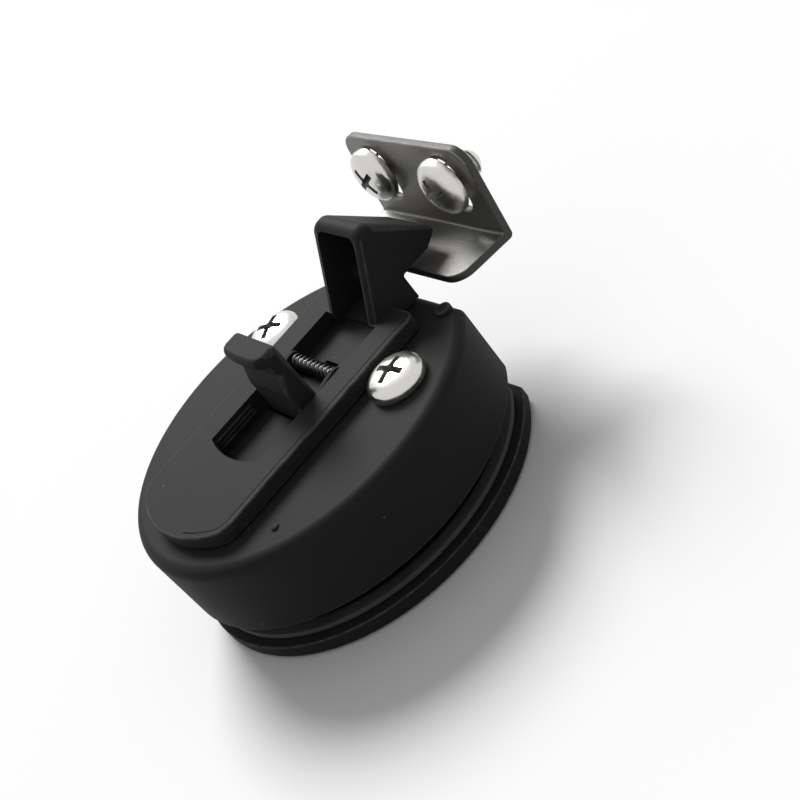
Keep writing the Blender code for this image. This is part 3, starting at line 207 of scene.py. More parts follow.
class Solid:
    """Closed mesh under construction, shaped by bmesh operators and exact Booleans."""

    def __init__(self, bm: BMesh) -> None:
        """Take over a bmesh."""
        self.bm = bm

    @classmethod
    def prism(cls, outline: list[Point], axis: Axis, low: float, high: float) -> "Solid":
        """Extrude an outline.

        Args:
            outline: points round the face, as (y, z), (x, z) or (x, y) pairs.
            axis: direction of the extrusion.
            low: where it starts along the axis.
            high: where it ends.

        Returns:
            The closed solid.
        """
        bm = bmesh.new()
        face = bm.faces.new([bm.verts.new(axis.place(a, b, low)) for a, b in outline])
        grown = bmesh.ops.extrude_face_region(bm, geom=[face])
        moved = [item for item in grown["geom"] if isinstance(item, BMVert)]
        bmesh.ops.translate(bm, vec=axis.place(0.0, 0.0, high - low), verts=moved)
        bmesh.ops.recalc_face_normals(bm, faces=bm.faces)
        return cls(bm)

    @classmethod
    def box(cls, x: Span, y: Span, z: Span) -> "Solid":
        """Box from three (low, high) pairs.

        Args:
            x: its stretch of x.
            y: its stretch of y.
            z: its stretch of z.

        Returns:
            The closed solid.
        """
        low, high = Vector((x[0], y[0], z[0])), Vector((x[1], y[1], z[1]))
        bm = bmesh.new()
        place = Matrix.Translation((low + high) / 2) @ Matrix.Diagonal((*(high - low), 1.0))
        bmesh.ops.create_cube(bm, size=1.0, matrix=place)
        return cls(bm)

    @classmethod
    def rod(cls, radius: float, start: Vector, end: Vector, segments: int = 64) -> "Solid":
        """Capped cylinder.

        Args:
            radius: radius of the rod.
            start: centre of one end.
            end: centre of the other.
            segments: number of sides.

        Returns:
            The closed solid.
        """
        along = end - start
        turn = along.to_track_quat("Z", "Y").to_matrix().to_4x4()
        bm = bmesh.new()
        bmesh.ops.create_cone(
            bm, cap_ends=True, cap_tris=False, segments=segments, radius1=radius, radius2=radius,
            depth=along.length, matrix=Matrix.Translation((start + end) / 2) @ turn,
        )
        return cls(bm)

    @classmethod
    def upright(cls, radius: float, at: Point, z: Span, segments: int = 64) -> "Solid":
        """Capped cylinder that stands along z at a place in the plan."""
        return cls.rod(radius, Vector((*at, z[0])), Vector((*at, z[1])), segments)

    @classmethod
    def across(cls, radius: float, at: Point, x: Span, segments: int = 64) -> "Solid":
        """Capped cylinder that lies along x, its centre at (y, z)."""
        return cls.rod(radius, Vector((x[0], *at)), Vector((x[1], *at)), segments)

    @classmethod
    def turned(cls, profile: list[Point], steps: int = 72) -> "Solid":
        """Turn a profile about the z axis.

        Args:
            profile: (radius, z) points from the axis, round and back to the axis.
            steps: number of steps round the axis.

        Returns:
            The closed solid.
        """
        bm = bmesh.new()
        verts = [bm.verts.new((radius, 0.0, z)) for radius, z in profile]
        edges = [bm.edges.new(pair) for pair in zip(verts, verts[1:])]
        bmesh.ops.spin(
            bm, geom=verts + edges, cent=(0, 0, 0), axis=(0, 0, 1), angle=2 * math.pi,
            steps=steps, use_merge=True,
        )
        bmesh.ops.remove_doubles(bm, verts=bm.verts, dist=WELD)
        bmesh.ops.recalc_face_normals(bm, faces=bm.faces)
        return cls(bm)

    @classmethod
    def coil(cls, place: Matrix, length: float, radius: float, wire: float, turns: float) -> "Solid":
        """Wire coil swept by a spin that also moves along its axis.

        Args:
            place: where the coil's own z axis and centre go.
            length: distance between the centres of its two wire ends.
            radius: radius of the wire's centre line.
            wire: radius of the wire.
            turns: number of turns.

        Returns:
            The closed solid.
        """
        steps = round(turns * COIL_STEPS)
        bm = bmesh.new()
        start = Matrix.Translation((radius, 0.0, -length / 2)) @ Matrix.Rotation(math.pi / 2, 4, "X")
        bmesh.ops.create_circle(bm, cap_ends=True, segments=WIRE_SIDES, radius=wire, matrix=start)
        bmesh.ops.spin(
            bm, geom=bm.verts[:] + bm.edges[:] + bm.faces[:], cent=(0, 0, 0), axis=(0, 0, 1),
            dvec=(0, 0, length / steps), angle=2 * math.pi * turns, steps=steps,
        )
        bmesh.ops.recalc_face_normals(bm, faces=bm.faces)
        bmesh.ops.transform(bm, matrix=place, verts=bm.verts)
        return cls(bm)

    @classmethod
    def loft(cls, rings: list[tuple[list[Point], float]], axis: Axis = Axis.Z) -> "Solid":
        """Skin a stack of flat rings that all have the same number of points.

        Args:
            rings: each ring's points and its place along the axis.
            axis: direction of the stack.

        Returns:
            The closed solid.
        """
        bm = bmesh.new()
        loops: list[list[BMEdge]] = []
        for points, height in rings:
            verts = [bm.verts.new(axis.place(a, b, height)) for a, b in points]
            loops.append([bm.edges.new(pair) for pair in zip(verts, verts[1:] + verts[:1])])
        for lower, upper in zip(loops, loops[1:]):
            bmesh.ops.bridge_loops(bm, edges=lower + upper)
        for loop in (loops[0], loops[-1]):
            bmesh.ops.contextual_create(bm, geom=loop)
        bmesh.ops.recalc_face_normals(bm, faces=bm.faces)
        return cls(bm)

    def placed(self, matrix: Matrix) -> "Solid":
        """Move the whole solid by a matrix."""
        bmesh.ops.transform(self.bm, matrix=matrix, verts=self.bm.verts)
        return self

    def into_mesh(self, name: str) -> bpy.types.Mesh:
        """Write the solid into a new mesh, and give its bmesh back.

        Args:
            name: name of the mesh.

        Returns:
            The mesh.
        """
        mesh = bpy.data.meshes.new(name)
        self.bm.to_mesh(mesh)
        self.bm.free()
        return mesh

    def _combine(self, other: "Solid", operation: str) -> "Solid":
        """Run one exact Boolean with another solid and take its result.

        Args:
            other: the other solid, which is used up.
            operation: Blender's name for the Boolean.

        Returns:
            This solid.
        """
        target = linked("target", self.into_mesh("target"))
        tool = linked("tool", other.into_mesh("tool"))
        modifier = target.modifiers.new("combine", "BOOLEAN")
        modifier.operation = operation
        modifier.solver = "EXACT"
        modifier.object = tool
        graph = bpy.context.evaluated_depsgraph_get()
        result = bpy.data.meshes.new_from_object(target.evaluated_get(graph))
        self.bm = bmesh.new()
        self.bm.from_mesh(result)
        bpy.data.meshes.remove(result)
        for obj in (target, tool):
            mesh = obj.data
            bpy.data.objects.remove(obj)
            bpy.data.meshes.remove(mesh)
        bmesh.ops.remove_doubles(self.bm, verts=self.bm.verts, dist=WELD)
        if not self.bm.faces:
            raise RuntimeError(f"the {operation} of two solids left nothing")
        return self

    def add(self, other: "Solid") -> "Solid":
        """Join another solid."""
        return self._combine(other, "UNION")

    def cut(self, other: "Solid") -> "Solid":
        """Remove another solid."""
        return self._combine(other, "DIFFERENCE")

    def keep(self, other: "Solid") -> "Solid":
        """Keep only what lies inside another solid."""
        return self._combine(other, "INTERSECT")

    def soften(self, test: Test, radius: float, segments: int = 3) -> "Solid":
        """Round the sharp edges whose two ends both pass a test.

        Args:
            test: says whether a vertex belongs to the edges that are rounded.
            radius: width of the rounding.
            segments: number of steps across it.

        Returns:
            This solid.
        """
        def is_sharp(edge: BMEdge) -> bool:
            """True for an edge between two faces that meet at a clear angle."""
            return len(edge.link_faces) == 2 and edge.calc_face_angle(0.0) > ROUNDED_ANGLE

        edges = [e for e in self.bm.edges if is_sharp(e) and all(test(v.co) for v in e.verts)]
        return self.bevel(edges, radius, segments)

    def bevel(self, edges: list[BMEdge], radius: float, segments: int) -> "Solid":
        """Round the given edges."""
        bmesh.ops.bevel(
            self.bm, geom=edges, offset=radius, offset_type="OFFSET", segments=segments,
            profile=0.5, affect="EDGES", material=-1, clamp_overlap=True,
        )
        return self

    def mark(self, name: str, test: Test) -> "Solid":
        """Set a face-corner value to 1 on every face whose middle passes a test.

        Args:
            name: name of the value.
            test: says whether a place belongs to the marked part.

        Returns:
            This solid.
        """
        layer = self.bm.loops.layers.float.new(name)
        for face in self.bm.faces:
            value = 1.0 if test(face.calc_center_median()) else 0.0
            for loop in face.loops:
                loop[layer] = value
        return self

    def mark_edges(self) -> None:
        """Write how strongly each narrow face turns outwards, for the lighter rounded edges: real scuffing
        and a painted highlight.
        """
        layer = self.bm.loops.layers.float.new("edge")
        for face in self.bm.faces:
            area = face.calc_area()
            joined = [edge for edge in face.edges if len(edge.link_faces) == 2]
            long = [edge for edge in joined if area < WORN_LIT_WIDTH * edge.calc_length()]
            turns = [edge.calc_face_angle_signed(0.0) for edge in long]
            turn = sum(angle for angle in turns if angle > WORN_LIT_ANGLE)
            for loop in face.loops:
                loop[layer] = min(1.0, turn / FULLY_WORN_LIT_ANGLE)


class Nodes:
    """Short way to add and link the nodes of a material or a node group."""

    def __init__(self, tree: bpy.types.NodeTree) -> None:
        """Work on one node tree."""
        self.tree = tree

    def add(self, kind: str, inputs: dict | None = None, **settings: object) -> bpy.types.Node:
        """Add a node.

        Args:
            kind: Blender's name for the node's type.
            inputs: a value or another node's output socket for each input, by name or index.
            settings: the node's own settings.

        Returns:
            The new node.
        """
        node = self.tree.nodes.new(kind)
        for name, value in settings.items():
            setattr(node, name, value)
        for name, value in (inputs or {}).items():
            self.feed(node.inputs[name], value)
        return node

    def feed(self, socket: bpy.types.NodeSocket, value: object) -> None:
        """Link an output socket to an input, or set the input's own value.

        Args:
            socket: the input.
            value: another node's output socket, or a plain value.
        """
        if isinstance(value, bpy.types.NodeSocket):
            self.tree.links.new(value, socket)
        else:
            socket.default_value = value

    def math(self, operation: str, a: object, b: object = 0.0) -> bpy.types.NodeSocket:
        """Output of a Math node with one or two operands."""
        return self.add("ShaderNodeMath", {0: a, 1: b}, operation=operation).outputs[0]

    def noise(
        self, where: object, scale: object, detail: float = 2.0, rough: float = 0.5,
    ) -> bpy.types.NodeSocket:
        """Value of a Noise Texture at a place."""
        inputs = {"Vector": where, "Scale": scale, "Detail": detail, "Roughness": rough}
        return self.add("ShaderNodeTexNoise", inputs).outputs["Fac"]

    def spread(self, value: object, source: Span, target: Span) -> bpy.types.NodeSocket:
        """Output of a Map Range node, clamped."""
        ranges = {1: source[0], 2: source[1], 3: target[0], 4: target[1]}
        return self.add("ShaderNodeMapRange", {"Value": value, **ranges}).outputs["Result"]

    def mix(self, factor: object, a: object, b: object) -> bpy.types.NodeSocket:
        """Colour between a and b."""
        inputs = {"Factor": factor, 6: a, 7: b}
        return self.add("ShaderNodeMix", inputs, data_type="RGBA").outputs[2]

    def place(self) -> bpy.types.NodeSocket:
        """Object coordinates, in metres."""
        return self.add("ShaderNodeTexCoord").outputs["Object"]

    def marked(self, name: str) -> bpy.types.NodeSocket:
        """Value that the mesh holds under a name."""
        return self.add("ShaderNodeAttribute", attribute_name=name).outputs["Fac"]

    def seen(self) -> bpy.types.NodeSocket:
        """1 along rays by which the eye, metal and glass see, and 0 along rays that light.

        Returns:
            The value's socket.
        """
        path = self.add("ShaderNodeLightPath").outputs
        clear = self.math("MAXIMUM", path["Is Glossy Ray"], path["Is Transmission Ray"])
        return self.math("MAXIMUM", path["Is Camera Ray"], clear)

    def effect(self, group: bpy.types.NodeTree, inputs: dict) -> bpy.types.Node:
        """Place an effect's node group and feed its inputs.

        Args:
            group: the effect's node group.
            inputs: a value or another node's output socket for each of its inputs, by name.

        Returns:
            The node that holds the group.
        """
        node = self.add("ShaderNodeGroup", node_tree=group)
        for name, value in inputs.items():
            self.feed(node.inputs[name], value)
        return node


class Effects:
    """Node groups that several finishes share, each built once."""

    noise_span: Span = (0.3, 0.7)
    grain_drift: float = 0.035
    line_drift: float = 0.12
    patch_scale: float = 700.0
    patch_span: Span = (0.35, 0.65)
    patch_limits: Span = (0.25, 1.0)
    speck_span: Span = (0.015, 0.03)
    speck_limits: Span = (0.6, 0.0)

    def __init__(self) -> None:
        """Build every shared group."""
        self.grain = self._group("surface_grain", {"Scale": "Float"}, {"Height": "Float", "Drift": "Float"})
        # Lighter marked edges: partly real scuffing, partly a painted edge highlight.
        self.wear_and_highlight = self._group(
            "edge_wear_and_highlight", {"Colour": "Color", "Worn_and_lit": "Color", "Amount": "Float"}, {"Colour": "Color"},
        )
        self.dust = self._group(
            "dust_specks", {"Colour": "Color", "Dust": "Color", "Spacing": "Float"}, {"Colour": "Color"},
        )
        self.lines = self._group(
            "drawn_lines", {"Stretch": "Vector", "Scale": "Float"}, {"Height": "Float", "Drift": "Float"},
        )
        self._fill_grain()
        self._fill_wear()
        self._fill_dust()
        self._fill_lines()

    @staticmethod
    def _group(name: str, inputs: dict[str, str], outputs: dict[str, str]) -> bpy.types.NodeTree:
        """Empty group with named sockets of the given types.

        Args:
            name: name of the group.
            inputs: the type of each input, by name.
            outputs: the type of each output, by name.

        Returns:
            The group's tree.
        """
        tree = bpy.data.node_groups.new(name, "ShaderNodeTree")
        for way, sockets in (("INPUT", inputs), ("OUTPUT", outputs)):
            for socket, kind in sockets.items():
                tree.interface.new_socket(name=socket, in_out=way, socket_type=f"NodeSocket{kind}")
        tree.nodes.new("NodeGroupInput")
        tree.nodes.new("NodeGroupOutput")
        return tree

    @staticmethod
    def _ends(tree: bpy.types.NodeTree) -> tuple[Nodes, bpy.types.Node, bpy.types.Node]:
        """The tree's helper, its input node and its output node."""
        return Nodes(tree), tree.nodes["Group Input"], tree.nodes["Group Output"]

    def _fill_grain(self) -> None:
        """Fine eroded texture of a mould's wall, and the slow drift of its tone."""
        nodes, given, result = self._ends(self.grain)
        where = nodes.place()
        fine = nodes.noise(where, given.outputs["Scale"], detail=3.0, rough=0.6)
        nodes.feed(result.inputs["Height"], nodes.spread(fine, self.noise_span, WHOLE))
        coarse = nodes.math("MULTIPLY", given.outputs["Scale"], self.grain_drift)
        slow = nodes.noise(where, coarse, detail=4.0)
        nodes.feed(result.inputs["Drift"], nodes.spread(slow, self.noise_span, WHOLE))

    def _fill_wear(self) -> None:
        """Lighter edges, partly scuffed and partly a painted highlight: the marked faces, broken up by
        noise.
        """
        nodes, given, result = self._ends(self.wear_and_highlight)
        noise = nodes.noise(nodes.place(), self.patch_scale, detail=4.0)
        patches = nodes.spread(noise, self.patch_span, self.patch_limits)
        rubbed_and_lit = nodes.math("MULTIPLY", nodes.marked("edge"), patches)
        mask = nodes.math("MULTIPLY", rubbed_and_lit, given.outputs["Amount"])
        mixed = nodes.mix(mask, given.outputs["Colour"], given.outputs["Worn_and_lit"])
        nodes.feed(result.inputs["Colour"], mixed)

    def _fill_dust(self) -> None:
        """A few pale specks, at random places about one spacing apart."""
        nodes, given, result = self._ends(self.dust)
        scale = nodes.math("DIVIDE", 1.0, given.outputs["Spacing"])
        cells = nodes.add("ShaderNodeTexVoronoi", {"Vector": nodes.place(), "Scale": scale})
        speck = nodes.spread(cells.outputs["Distance"], self.speck_span, self.speck_limits)
        mixed = nodes.mix(speck, given.outputs["Colour"], given.outputs["Dust"])
        nodes.feed(result.inputs["Colour"], mixed)

    def _fill_lines(self) -> None:
        """Fine parallel lines of brushing or drawing, and a slow drift along them."""
        nodes, given, result = self._ends(self.lines)
        factors = {0: nodes.place(), 1: given.outputs["Stretch"]}
        where = nodes.add("ShaderNodeVectorMath", factors, operation="MULTIPLY").outputs["Vector"]
        fine = nodes.noise(where, given.outputs["Scale"], detail=4.0, rough=0.65)
        nodes.feed(result.inputs["Height"], fine)
        coarse = nodes.math("MULTIPLY", given.outputs["Scale"], self.line_drift)
        slow = nodes.noise(where, coarse, detail=3.0)
        nodes.feed(result.inputs["Drift"], nodes.spread(slow, self.noise_span, WHOLE))


EFFECTS = Effects()


@dataclass(frozen=True)
class Finish:
    """Surface of one material: what every finish shares."""

    slot: str
    colour: Colour
    roughness: float
    metallic: float = 0.0

    def material(self) -> bpy.types.Material:
        """The finish's material, built the first time that it is asked for.

        Returns:
            The material.
        """
        name = f"{type(self).__name__.lower()}_{self.slot}_{round(self.colour[0] * 1000)}"
        found = bpy.data.materials.get(name)
        if found:
            return found
        made = bpy.data.materials.new(name)
        made.use_nodes = True
        shader = made.node_tree.nodes["Principled BSDF"]
        shader.inputs["Base Color"].default_value = (*self.colour, 1.0)
        shader.inputs["Roughness"].default_value = self.roughness
        shader.inputs["Metallic"].default_value = self.metallic
        self.dress(Nodes(made.node_tree), shader)
        return made

    def dress(self, nodes: Nodes, shader: bpy.types.Node) -> None:
        """Add the finish's own nodes to the shader."""

    def bump(self, nodes: Nodes, shader: bpy.types.Node, height: object, depth: float) -> None:
        """Give the shader a relief of some depth, in metres."""
        inputs = {"Height": height, "Distance": depth, "Strength": 1.0}
        nodes.feed(shader.inputs["Normal"], nodes.add("ShaderNodeBump", inputs).outputs["Normal"])

    def vary(self, nodes: Nodes, shader: bpy.types.Node, drift: object, swing: float) -> None:
        """Let the roughness drift by a swing either side of its plain value."""
        target = (self.roughness - swing, self.roughness + swing)
        nodes.feed(shader.inputs["Roughness"], nodes.spread(drift, WHOLE, target))


@dataclass(frozen=True)
class MouldedPlastic(Finish):
    """Dark satin plastic with the fine grain of its mould, lighter edges that are partly scuffed and partly
    a painted highlight, and a few specks.
    """

    specular: float = 0.04
    # Colour of the lighter edges: real scuffing and a painted highlight.
    worn_and_lit: Colour = (0.11, 0.11, 0.107)
    wear_and_highlight: float = 0.75
    grain: float = 5200.0
    relief: float = 0.000008
    lightening: float = 1.06
    swing: float = 0.01
    dust: Colour = (0.32, 0.31, 0.29)
    dust_spacing: float = 0.0045

    def dress(self, nodes: Nodes, shader: bpy.types.Node) -> None:
        """Grain, tone drift, lighter edges (scuffing and a painted highlight) and dust.

        Args:
            nodes: the material's nodes.
            shader: its main shader.
        """
        shader.inputs["Specular IOR Level"].default_value = self.specular
        grain = nodes.effect(EFFECTS.grain, {"Scale": self.grain})
        lighter = tuple(min(1.0, part * self.lightening) for part in self.colour)
        tone = nodes.mix(grain.outputs["Drift"], (*self.colour, 1.0), (*lighter, 1.0))
        rub_and_highlight = {"Colour": tone, "Worn_and_lit": (*self.worn_and_lit, 1.0), "Amount": self.wear_and_highlight}
        worn_and_lit = nodes.effect(EFFECTS.wear_and_highlight, rub_and_highlight).outputs["Colour"]
        specks = {"Colour": worn_and_lit, "Dust": (*self.dust, 1.0), "Spacing": self.dust_spacing}
        dusty = nodes.effect(EFFECTS.dust, specks)
        nodes.feed(shader.inputs["Base Color"], dusty.outputs["Colour"])
        self.vary(nodes, shader, grain.outputs["Drift"], self.swing)
        self.bump(nodes, shader, grain.outputs["Height"], self.relief)


@dataclass(frozen=True)
class PlatedMetal(Finish):
    """Bright plating with slow waves, darker spots, and dirt with painted shade in its recess."""

    metallic: float = 1.0
    grain: float = 2600.0
    swing: float = 0.07
    spot: Colour = (0.30, 0.29, 0.27)
    spot_scale: float = 900.0
    spot_span: Span = (0.6, 0.72)
    spot_amount: float = 0.5
    # Colour deep in the recess: partly dirt, partly painted shade.
    dirt_and_shade: Colour = (0.2, 0.195, 0.185)
    soot_roughness: float = 0.7
    wave_scale: float = 420.0
    wave_depth: float = 0.00012

    def dress(self, nodes: Nodes, shader: bpy.types.Node) -> None:
        """Darker spots, dirt with painted shade in the recess, and a shallow waviness.

        Args:
            nodes: the material's nodes.
            shader: its main shader.
        """
        grain = nodes.effect(EFFECTS.grain, {"Scale": self.grain})
        blots = nodes.noise(nodes.place(), self.spot_scale, detail=5.0, rough=0.7)
        spots = nodes.spread(blots, self.spot_span, (0.0, self.spot_amount))
        toned = nodes.mix(spots, (*self.colour, 1.0), (*self.spot, 1.0))
        # Faces deep in the cross recess turn dark: partly dirt, partly painted shade.
        deep = nodes.marked("deep")
        nodes.feed(shader.inputs["Base Color"], nodes.mix(deep, toned, (*self.dirt_and_shade, 1.0)))
        limits = (self.roughness - self.swing, self.roughness + self.swing)
        clean = nodes.spread(grain.outputs["Drift"], WHOLE, limits)
        dirty_shaded_roughness = nodes.spread(deep, WHOLE, (clean, self.soot_roughness))
        nodes.feed(shader.inputs["Roughness"], dirty_shaded_roughness)
        wave = nodes.noise(nodes.place(), self.wave_scale, detail=2.0)
        self.bump(nodes, shader, wave, self.wave_depth)


@dataclass(frozen=True)
class BrushedSheet(Finish):
    """Brushed sheet: lines along the fold, with warm tints where it was heated or handled."""

    metallic: float = 1.0
    stretch: Triple = (1.0, 14.0, 14.0)
    scale: float = 420.0
    swing: float = 0.14
    relief: float = 0.00003
    tint: Colour = (0.115, 0.104, 0.092)
    tint_scale: float = 130.0
    tint_span: Span = (0.45, 0.7)
    tint_amount: float = 0.8
    rim: Colour = (0.05, 0.049, 0.047)
    brightening: float = 1.5
    wear_and_highlight: float = 0.5

    def dress(self, nodes: Nodes, shader: bpy.types.Node) -> None:
        """Brush lines in relief and roughness, tints, brighter edges that are partly scuffed and partly a
        painted highlight, and a darker sheared rim.

        Args:
            nodes: the material's nodes.
            shader: its main shader.
        """
        lines = nodes.effect(EFFECTS.lines, {"Stretch": self.stretch, "Scale": self.scale})
        clouds = nodes.noise(nodes.place(), self.tint_scale, detail=5.0, rough=0.6)
        stains = nodes.spread(clouds, self.tint_span, (0.0, self.tint_amount))
        toned = nodes.mix(stains, (*self.colour, 1.0), (*self.tint, 1.0))
        # Brighter marked edges: real scuffing and a painted highlight.
        bright = tuple(min(1.0, part * self.brightening) for part in self.colour)
        rub_and_highlight = {"Colour": toned, "Worn_and_lit": (*bright, 1.0), "Amount": self.wear_and_highlight}
        worn_and_lit = nodes.effect(EFFECTS.wear_and_highlight, rub_and_highlight).outputs["Colour"]
        rimmed = nodes.mix(nodes.marked("rim"), worn_and_lit, (*self.rim, 1.0))
        nodes.feed(shader.inputs["Base Color"], rimmed)
        self.vary(nodes, shader, lines.outputs["Height"], self.swing)
        self.bump(nodes, shader, lines.outputs["Height"], self.relief)


@dataclass(frozen=True)
class DrawnWire(Finish):
    """Spring wire and pins: dark steel with drawing lines and a film of oil."""

    metallic: float = 1.0
    stretch: Triple = (1.0, 6.0, 6.0)
    scale: float = 1500.0
    swing: float = 0.08
    relief: float = 0.000006
    darkening: float = 0.45

    def dress(self, nodes: Nodes, shader: bpy.types.Node) -> None:
        """Fine lines and patches of darker oil film.

        Args:
            nodes: the material's nodes.
            shader: its main shader.
        """
        lines = nodes.effect(EFFECTS.lines, {"Stretch": self.stretch, "Scale": self.scale})
        dark = tuple(part * self.darkening for part in self.colour)
        film = nodes.mix(lines.outputs["Drift"], (*dark, 1.0), (*self.colour, 1.0))
        nodes.feed(shader.inputs["Base Color"], film)
        self.vary(nodes, shader, lines.outputs["Height"], self.swing)
        self.bump(nodes, shader, lines.outputs["Height"], self.relief)


@dataclass(frozen=True)
class SealRubber(Finish):
    """Matt rubber with a powdery bloom."""

    bloom: Colour = (0.06, 0.06, 0.06)
    grain: float = 3400.0
    swing: float = 0.06
    relief: float = 0.00002

    def dress(self, nodes: Nodes, shader: bpy.types.Node) -> None:
        """Soft grain and a pale bloom that comes and goes.

        Args:
            nodes: the material's nodes.
            shader: its main shader.
        """
        grain = nodes.effect(EFFECTS.grain, {"Scale": self.grain})
        toned = nodes.mix(grain.outputs["Drift"], (*self.colour, 1.0), (*self.bloom, 1.0))
        nodes.feed(shader.inputs["Base Color"], toned)
        self.vary(nodes, shader, grain.outputs["Drift"], self.swing)
        self.bump(nodes, shader, grain.outputs["Height"], self.relief)


@dataclass(frozen=True)
class TurnedBrass(Finish):
    """Turned brass with tool lines and a light tarnish."""

    metallic: float = 1.0
    tarnish: Colour = (0.33, 0.22, 0.09)
    stretch: Triple = (1.0, 1.0, 12.0)
    scale: float = 900.0
    swing: float = 0.08
    relief: float = 0.00001

    def dress(self, nodes: Nodes, shader: bpy.types.Node) -> None:
        """Tool lines round the axis and patches of tarnish.

        Args:
            nodes: the material's nodes.
            shader: its main shader.
        """
        lines = nodes.effect(EFFECTS.lines, {"Stretch": self.stretch, "Scale": self.scale})
        toned = nodes.mix(lines.outputs["Drift"], (*self.tarnish, 1.0), (*self.colour, 1.0))
        nodes.feed(shader.inputs["Base Color"], toned)
        self.vary(nodes, shader, lines.outputs["Height"], self.swing)
        self.bump(nodes, shader, lines.outputs["Height"], self.relief)


NYLON = MouldedPlastic("black_nylon", (0.0245, 0.0248, 0.024), 0.55)
ACETAL = MouldedPlastic("black_acetal", (0.03, 0.03, 0.03), 0.45, wear_and_highlight=0.3)
NICKEL = PlatedMetal("nickel_plate", (0.62, 0.61, 0.585), 0.26)
STAINLESS = BrushedSheet("stainless_sheet", (0.165, 0.163, 0.157), 0.46)
STEEL = DrawnWire("spring_steel", (0.34, 0.34, 0.34), 0.34)
BLACK_WIRE = DrawnWire("spring_steel", (0.1, 0.1, 0.095), 0.36)
RUBBER = SealRubber("seal_rubber", (0.018, 0.018, 0.018), 0.78)
BRASS = TurnedBrass("brass", (0.62, 0.46, 0.2), 0.32)


def publish(solid: Solid, name: str, finish: Finish, body: Body, *nodes: str) -> bpy.types.Object:
    """Turn a finished solid into a piece of the object.

    Args:
        solid: the closed solid, in the latch frame and in millimetres.
        name: name of the piece.
        finish: its finish.
        body: the body that it rides on.
        nodes: the CAD nodes that it stands for.

    Returns:
        The piece's object.
    """
    solid.mark_edges()
    mesh = solid.placed(INTO_FRAME).into_mesh(name)
    mesh.shade_smooth()
    mesh.set_sharp_from_angle(angle=SHARP_ANGLE)
    mesh.materials.append(finish.material())
    obj = linked(name, mesh)
    weighted = obj.modifiers.new("even_shading", "WEIGHTED_NORMAL")
    weighted.keep_sharp = True
    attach(obj, body.value)
    if nodes:
        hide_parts(*nodes)
    log.info("%s: %d faces, rides on %s", name, len(mesh.polygons), body.value)
    return obj


def repaint(node: str, finish: Finish) -> None:
    """Give a CAD node that stays its finish.

    Args:
        node: name of the node.
        finish: its finish.
    """
    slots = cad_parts[node].data.materials
    slots.clear()
    slots.append(finish.material())
    log.info("%s: kept, with a finish of its own", node)


@dataclass
class Shared:
    """Heights, screw places and hinge centres that several sub-assemblies share."""

    screw_at: Point = (15.1, 3.0)
    lever_pivot: Point = (0.1, 13.5)
    paddle_pivot: Point = (5.5, -2.6)
    bezel_front: float = -6.5
    bezel_rear: float = -4.0
    cup_floor: float = 0.6
    cup_floor_top: float = 2.0
    boss_split: float = 4.5
    ceiling: float = 9.4
    tray_bottom: float = 9.6
    housing_top: float = 12.0
    plate_bottom: float = 12.3
    plate_top: float = 14.4


@dataclass
class Oval:
    """Plan of the housing and the bezel: an oval cut straight across at its far end."""

    half_width: float
    half_length: float
    centre_y: float
    flat_y: float
    corner: float = 0.6
    steps: int = 220

    @classmethod
    def from_frame(cls, trimmed: float) -> "Oval":
        """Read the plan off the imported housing.

        Args:
            trimmed: how much of the whole oval the straight end takes off.

        Returns:
            The plan, in millimetres.
        """
        low, high = (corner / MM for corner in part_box("rear_housing"))
        half = (high.y + trimmed - low.y) / 2
        return cls(high.x, half, low.y + half, high.y)

    def corner_x(self) -> float:
        """Where the oval meets its straight end."""
        return self.half_width * math.sqrt(1 - ((self.flat_y - self.centre_y) / self.half_length) ** 2)

    def ring(self, inset: float) -> list[Point]:
        """Points round the plan, some way inside its edge, with small round far corners.

        Args:
            inset: how far inside the edge.

        Returns:
            The outline's points.
        """
        wide, long, flat = self.half_width - inset, self.half_length - inset, self.flat_y - inset
        end = math.asin((flat - self.centre_y) / long)
        angles = [end - (math.pi + 2 * end) * step / self.steps for step in range(self.steps + 1)]
        points = [(wide * math.cos(a), self.centre_y + long * math.sin(a)) for a in angles]
        (right, *between, left) = points
        corners = [(*right, self.corner), *((*point, 0.0) for point in between), (*left, self.corner)]
        return rounded(corners, 6)

    def solid(self, inset: float, z: Span, low_edge: float = 0.0, high_edge: float = 0.0) -> Solid:
        """Upright solid on this plan, with rounded edges.

        Args:
            inset: how far it stands inside the plan's edge.
            z: its lowest and highest level.
            low_edge: radius of its lower edge.
            high_edge: radius of its upper edge.

        Returns:
            The closed solid.
        """
        rings: list[tuple[float, float]] = []
        for level, way, radius in ((z[0], 1, low_edge), (z[1], -1, high_edge)):
            turns = quarter(8 if radius > 0.5 else 3) if radius else [0.0]
            bend = [(radius * (1 - math.cos(a)), level + way * radius * (1 - math.sin(a))) for a in turns]
            rings += bend if way < 0 else bend[::-1]
        return Solid.loft([(self.ring(inset + step), level) for step, level in rings])


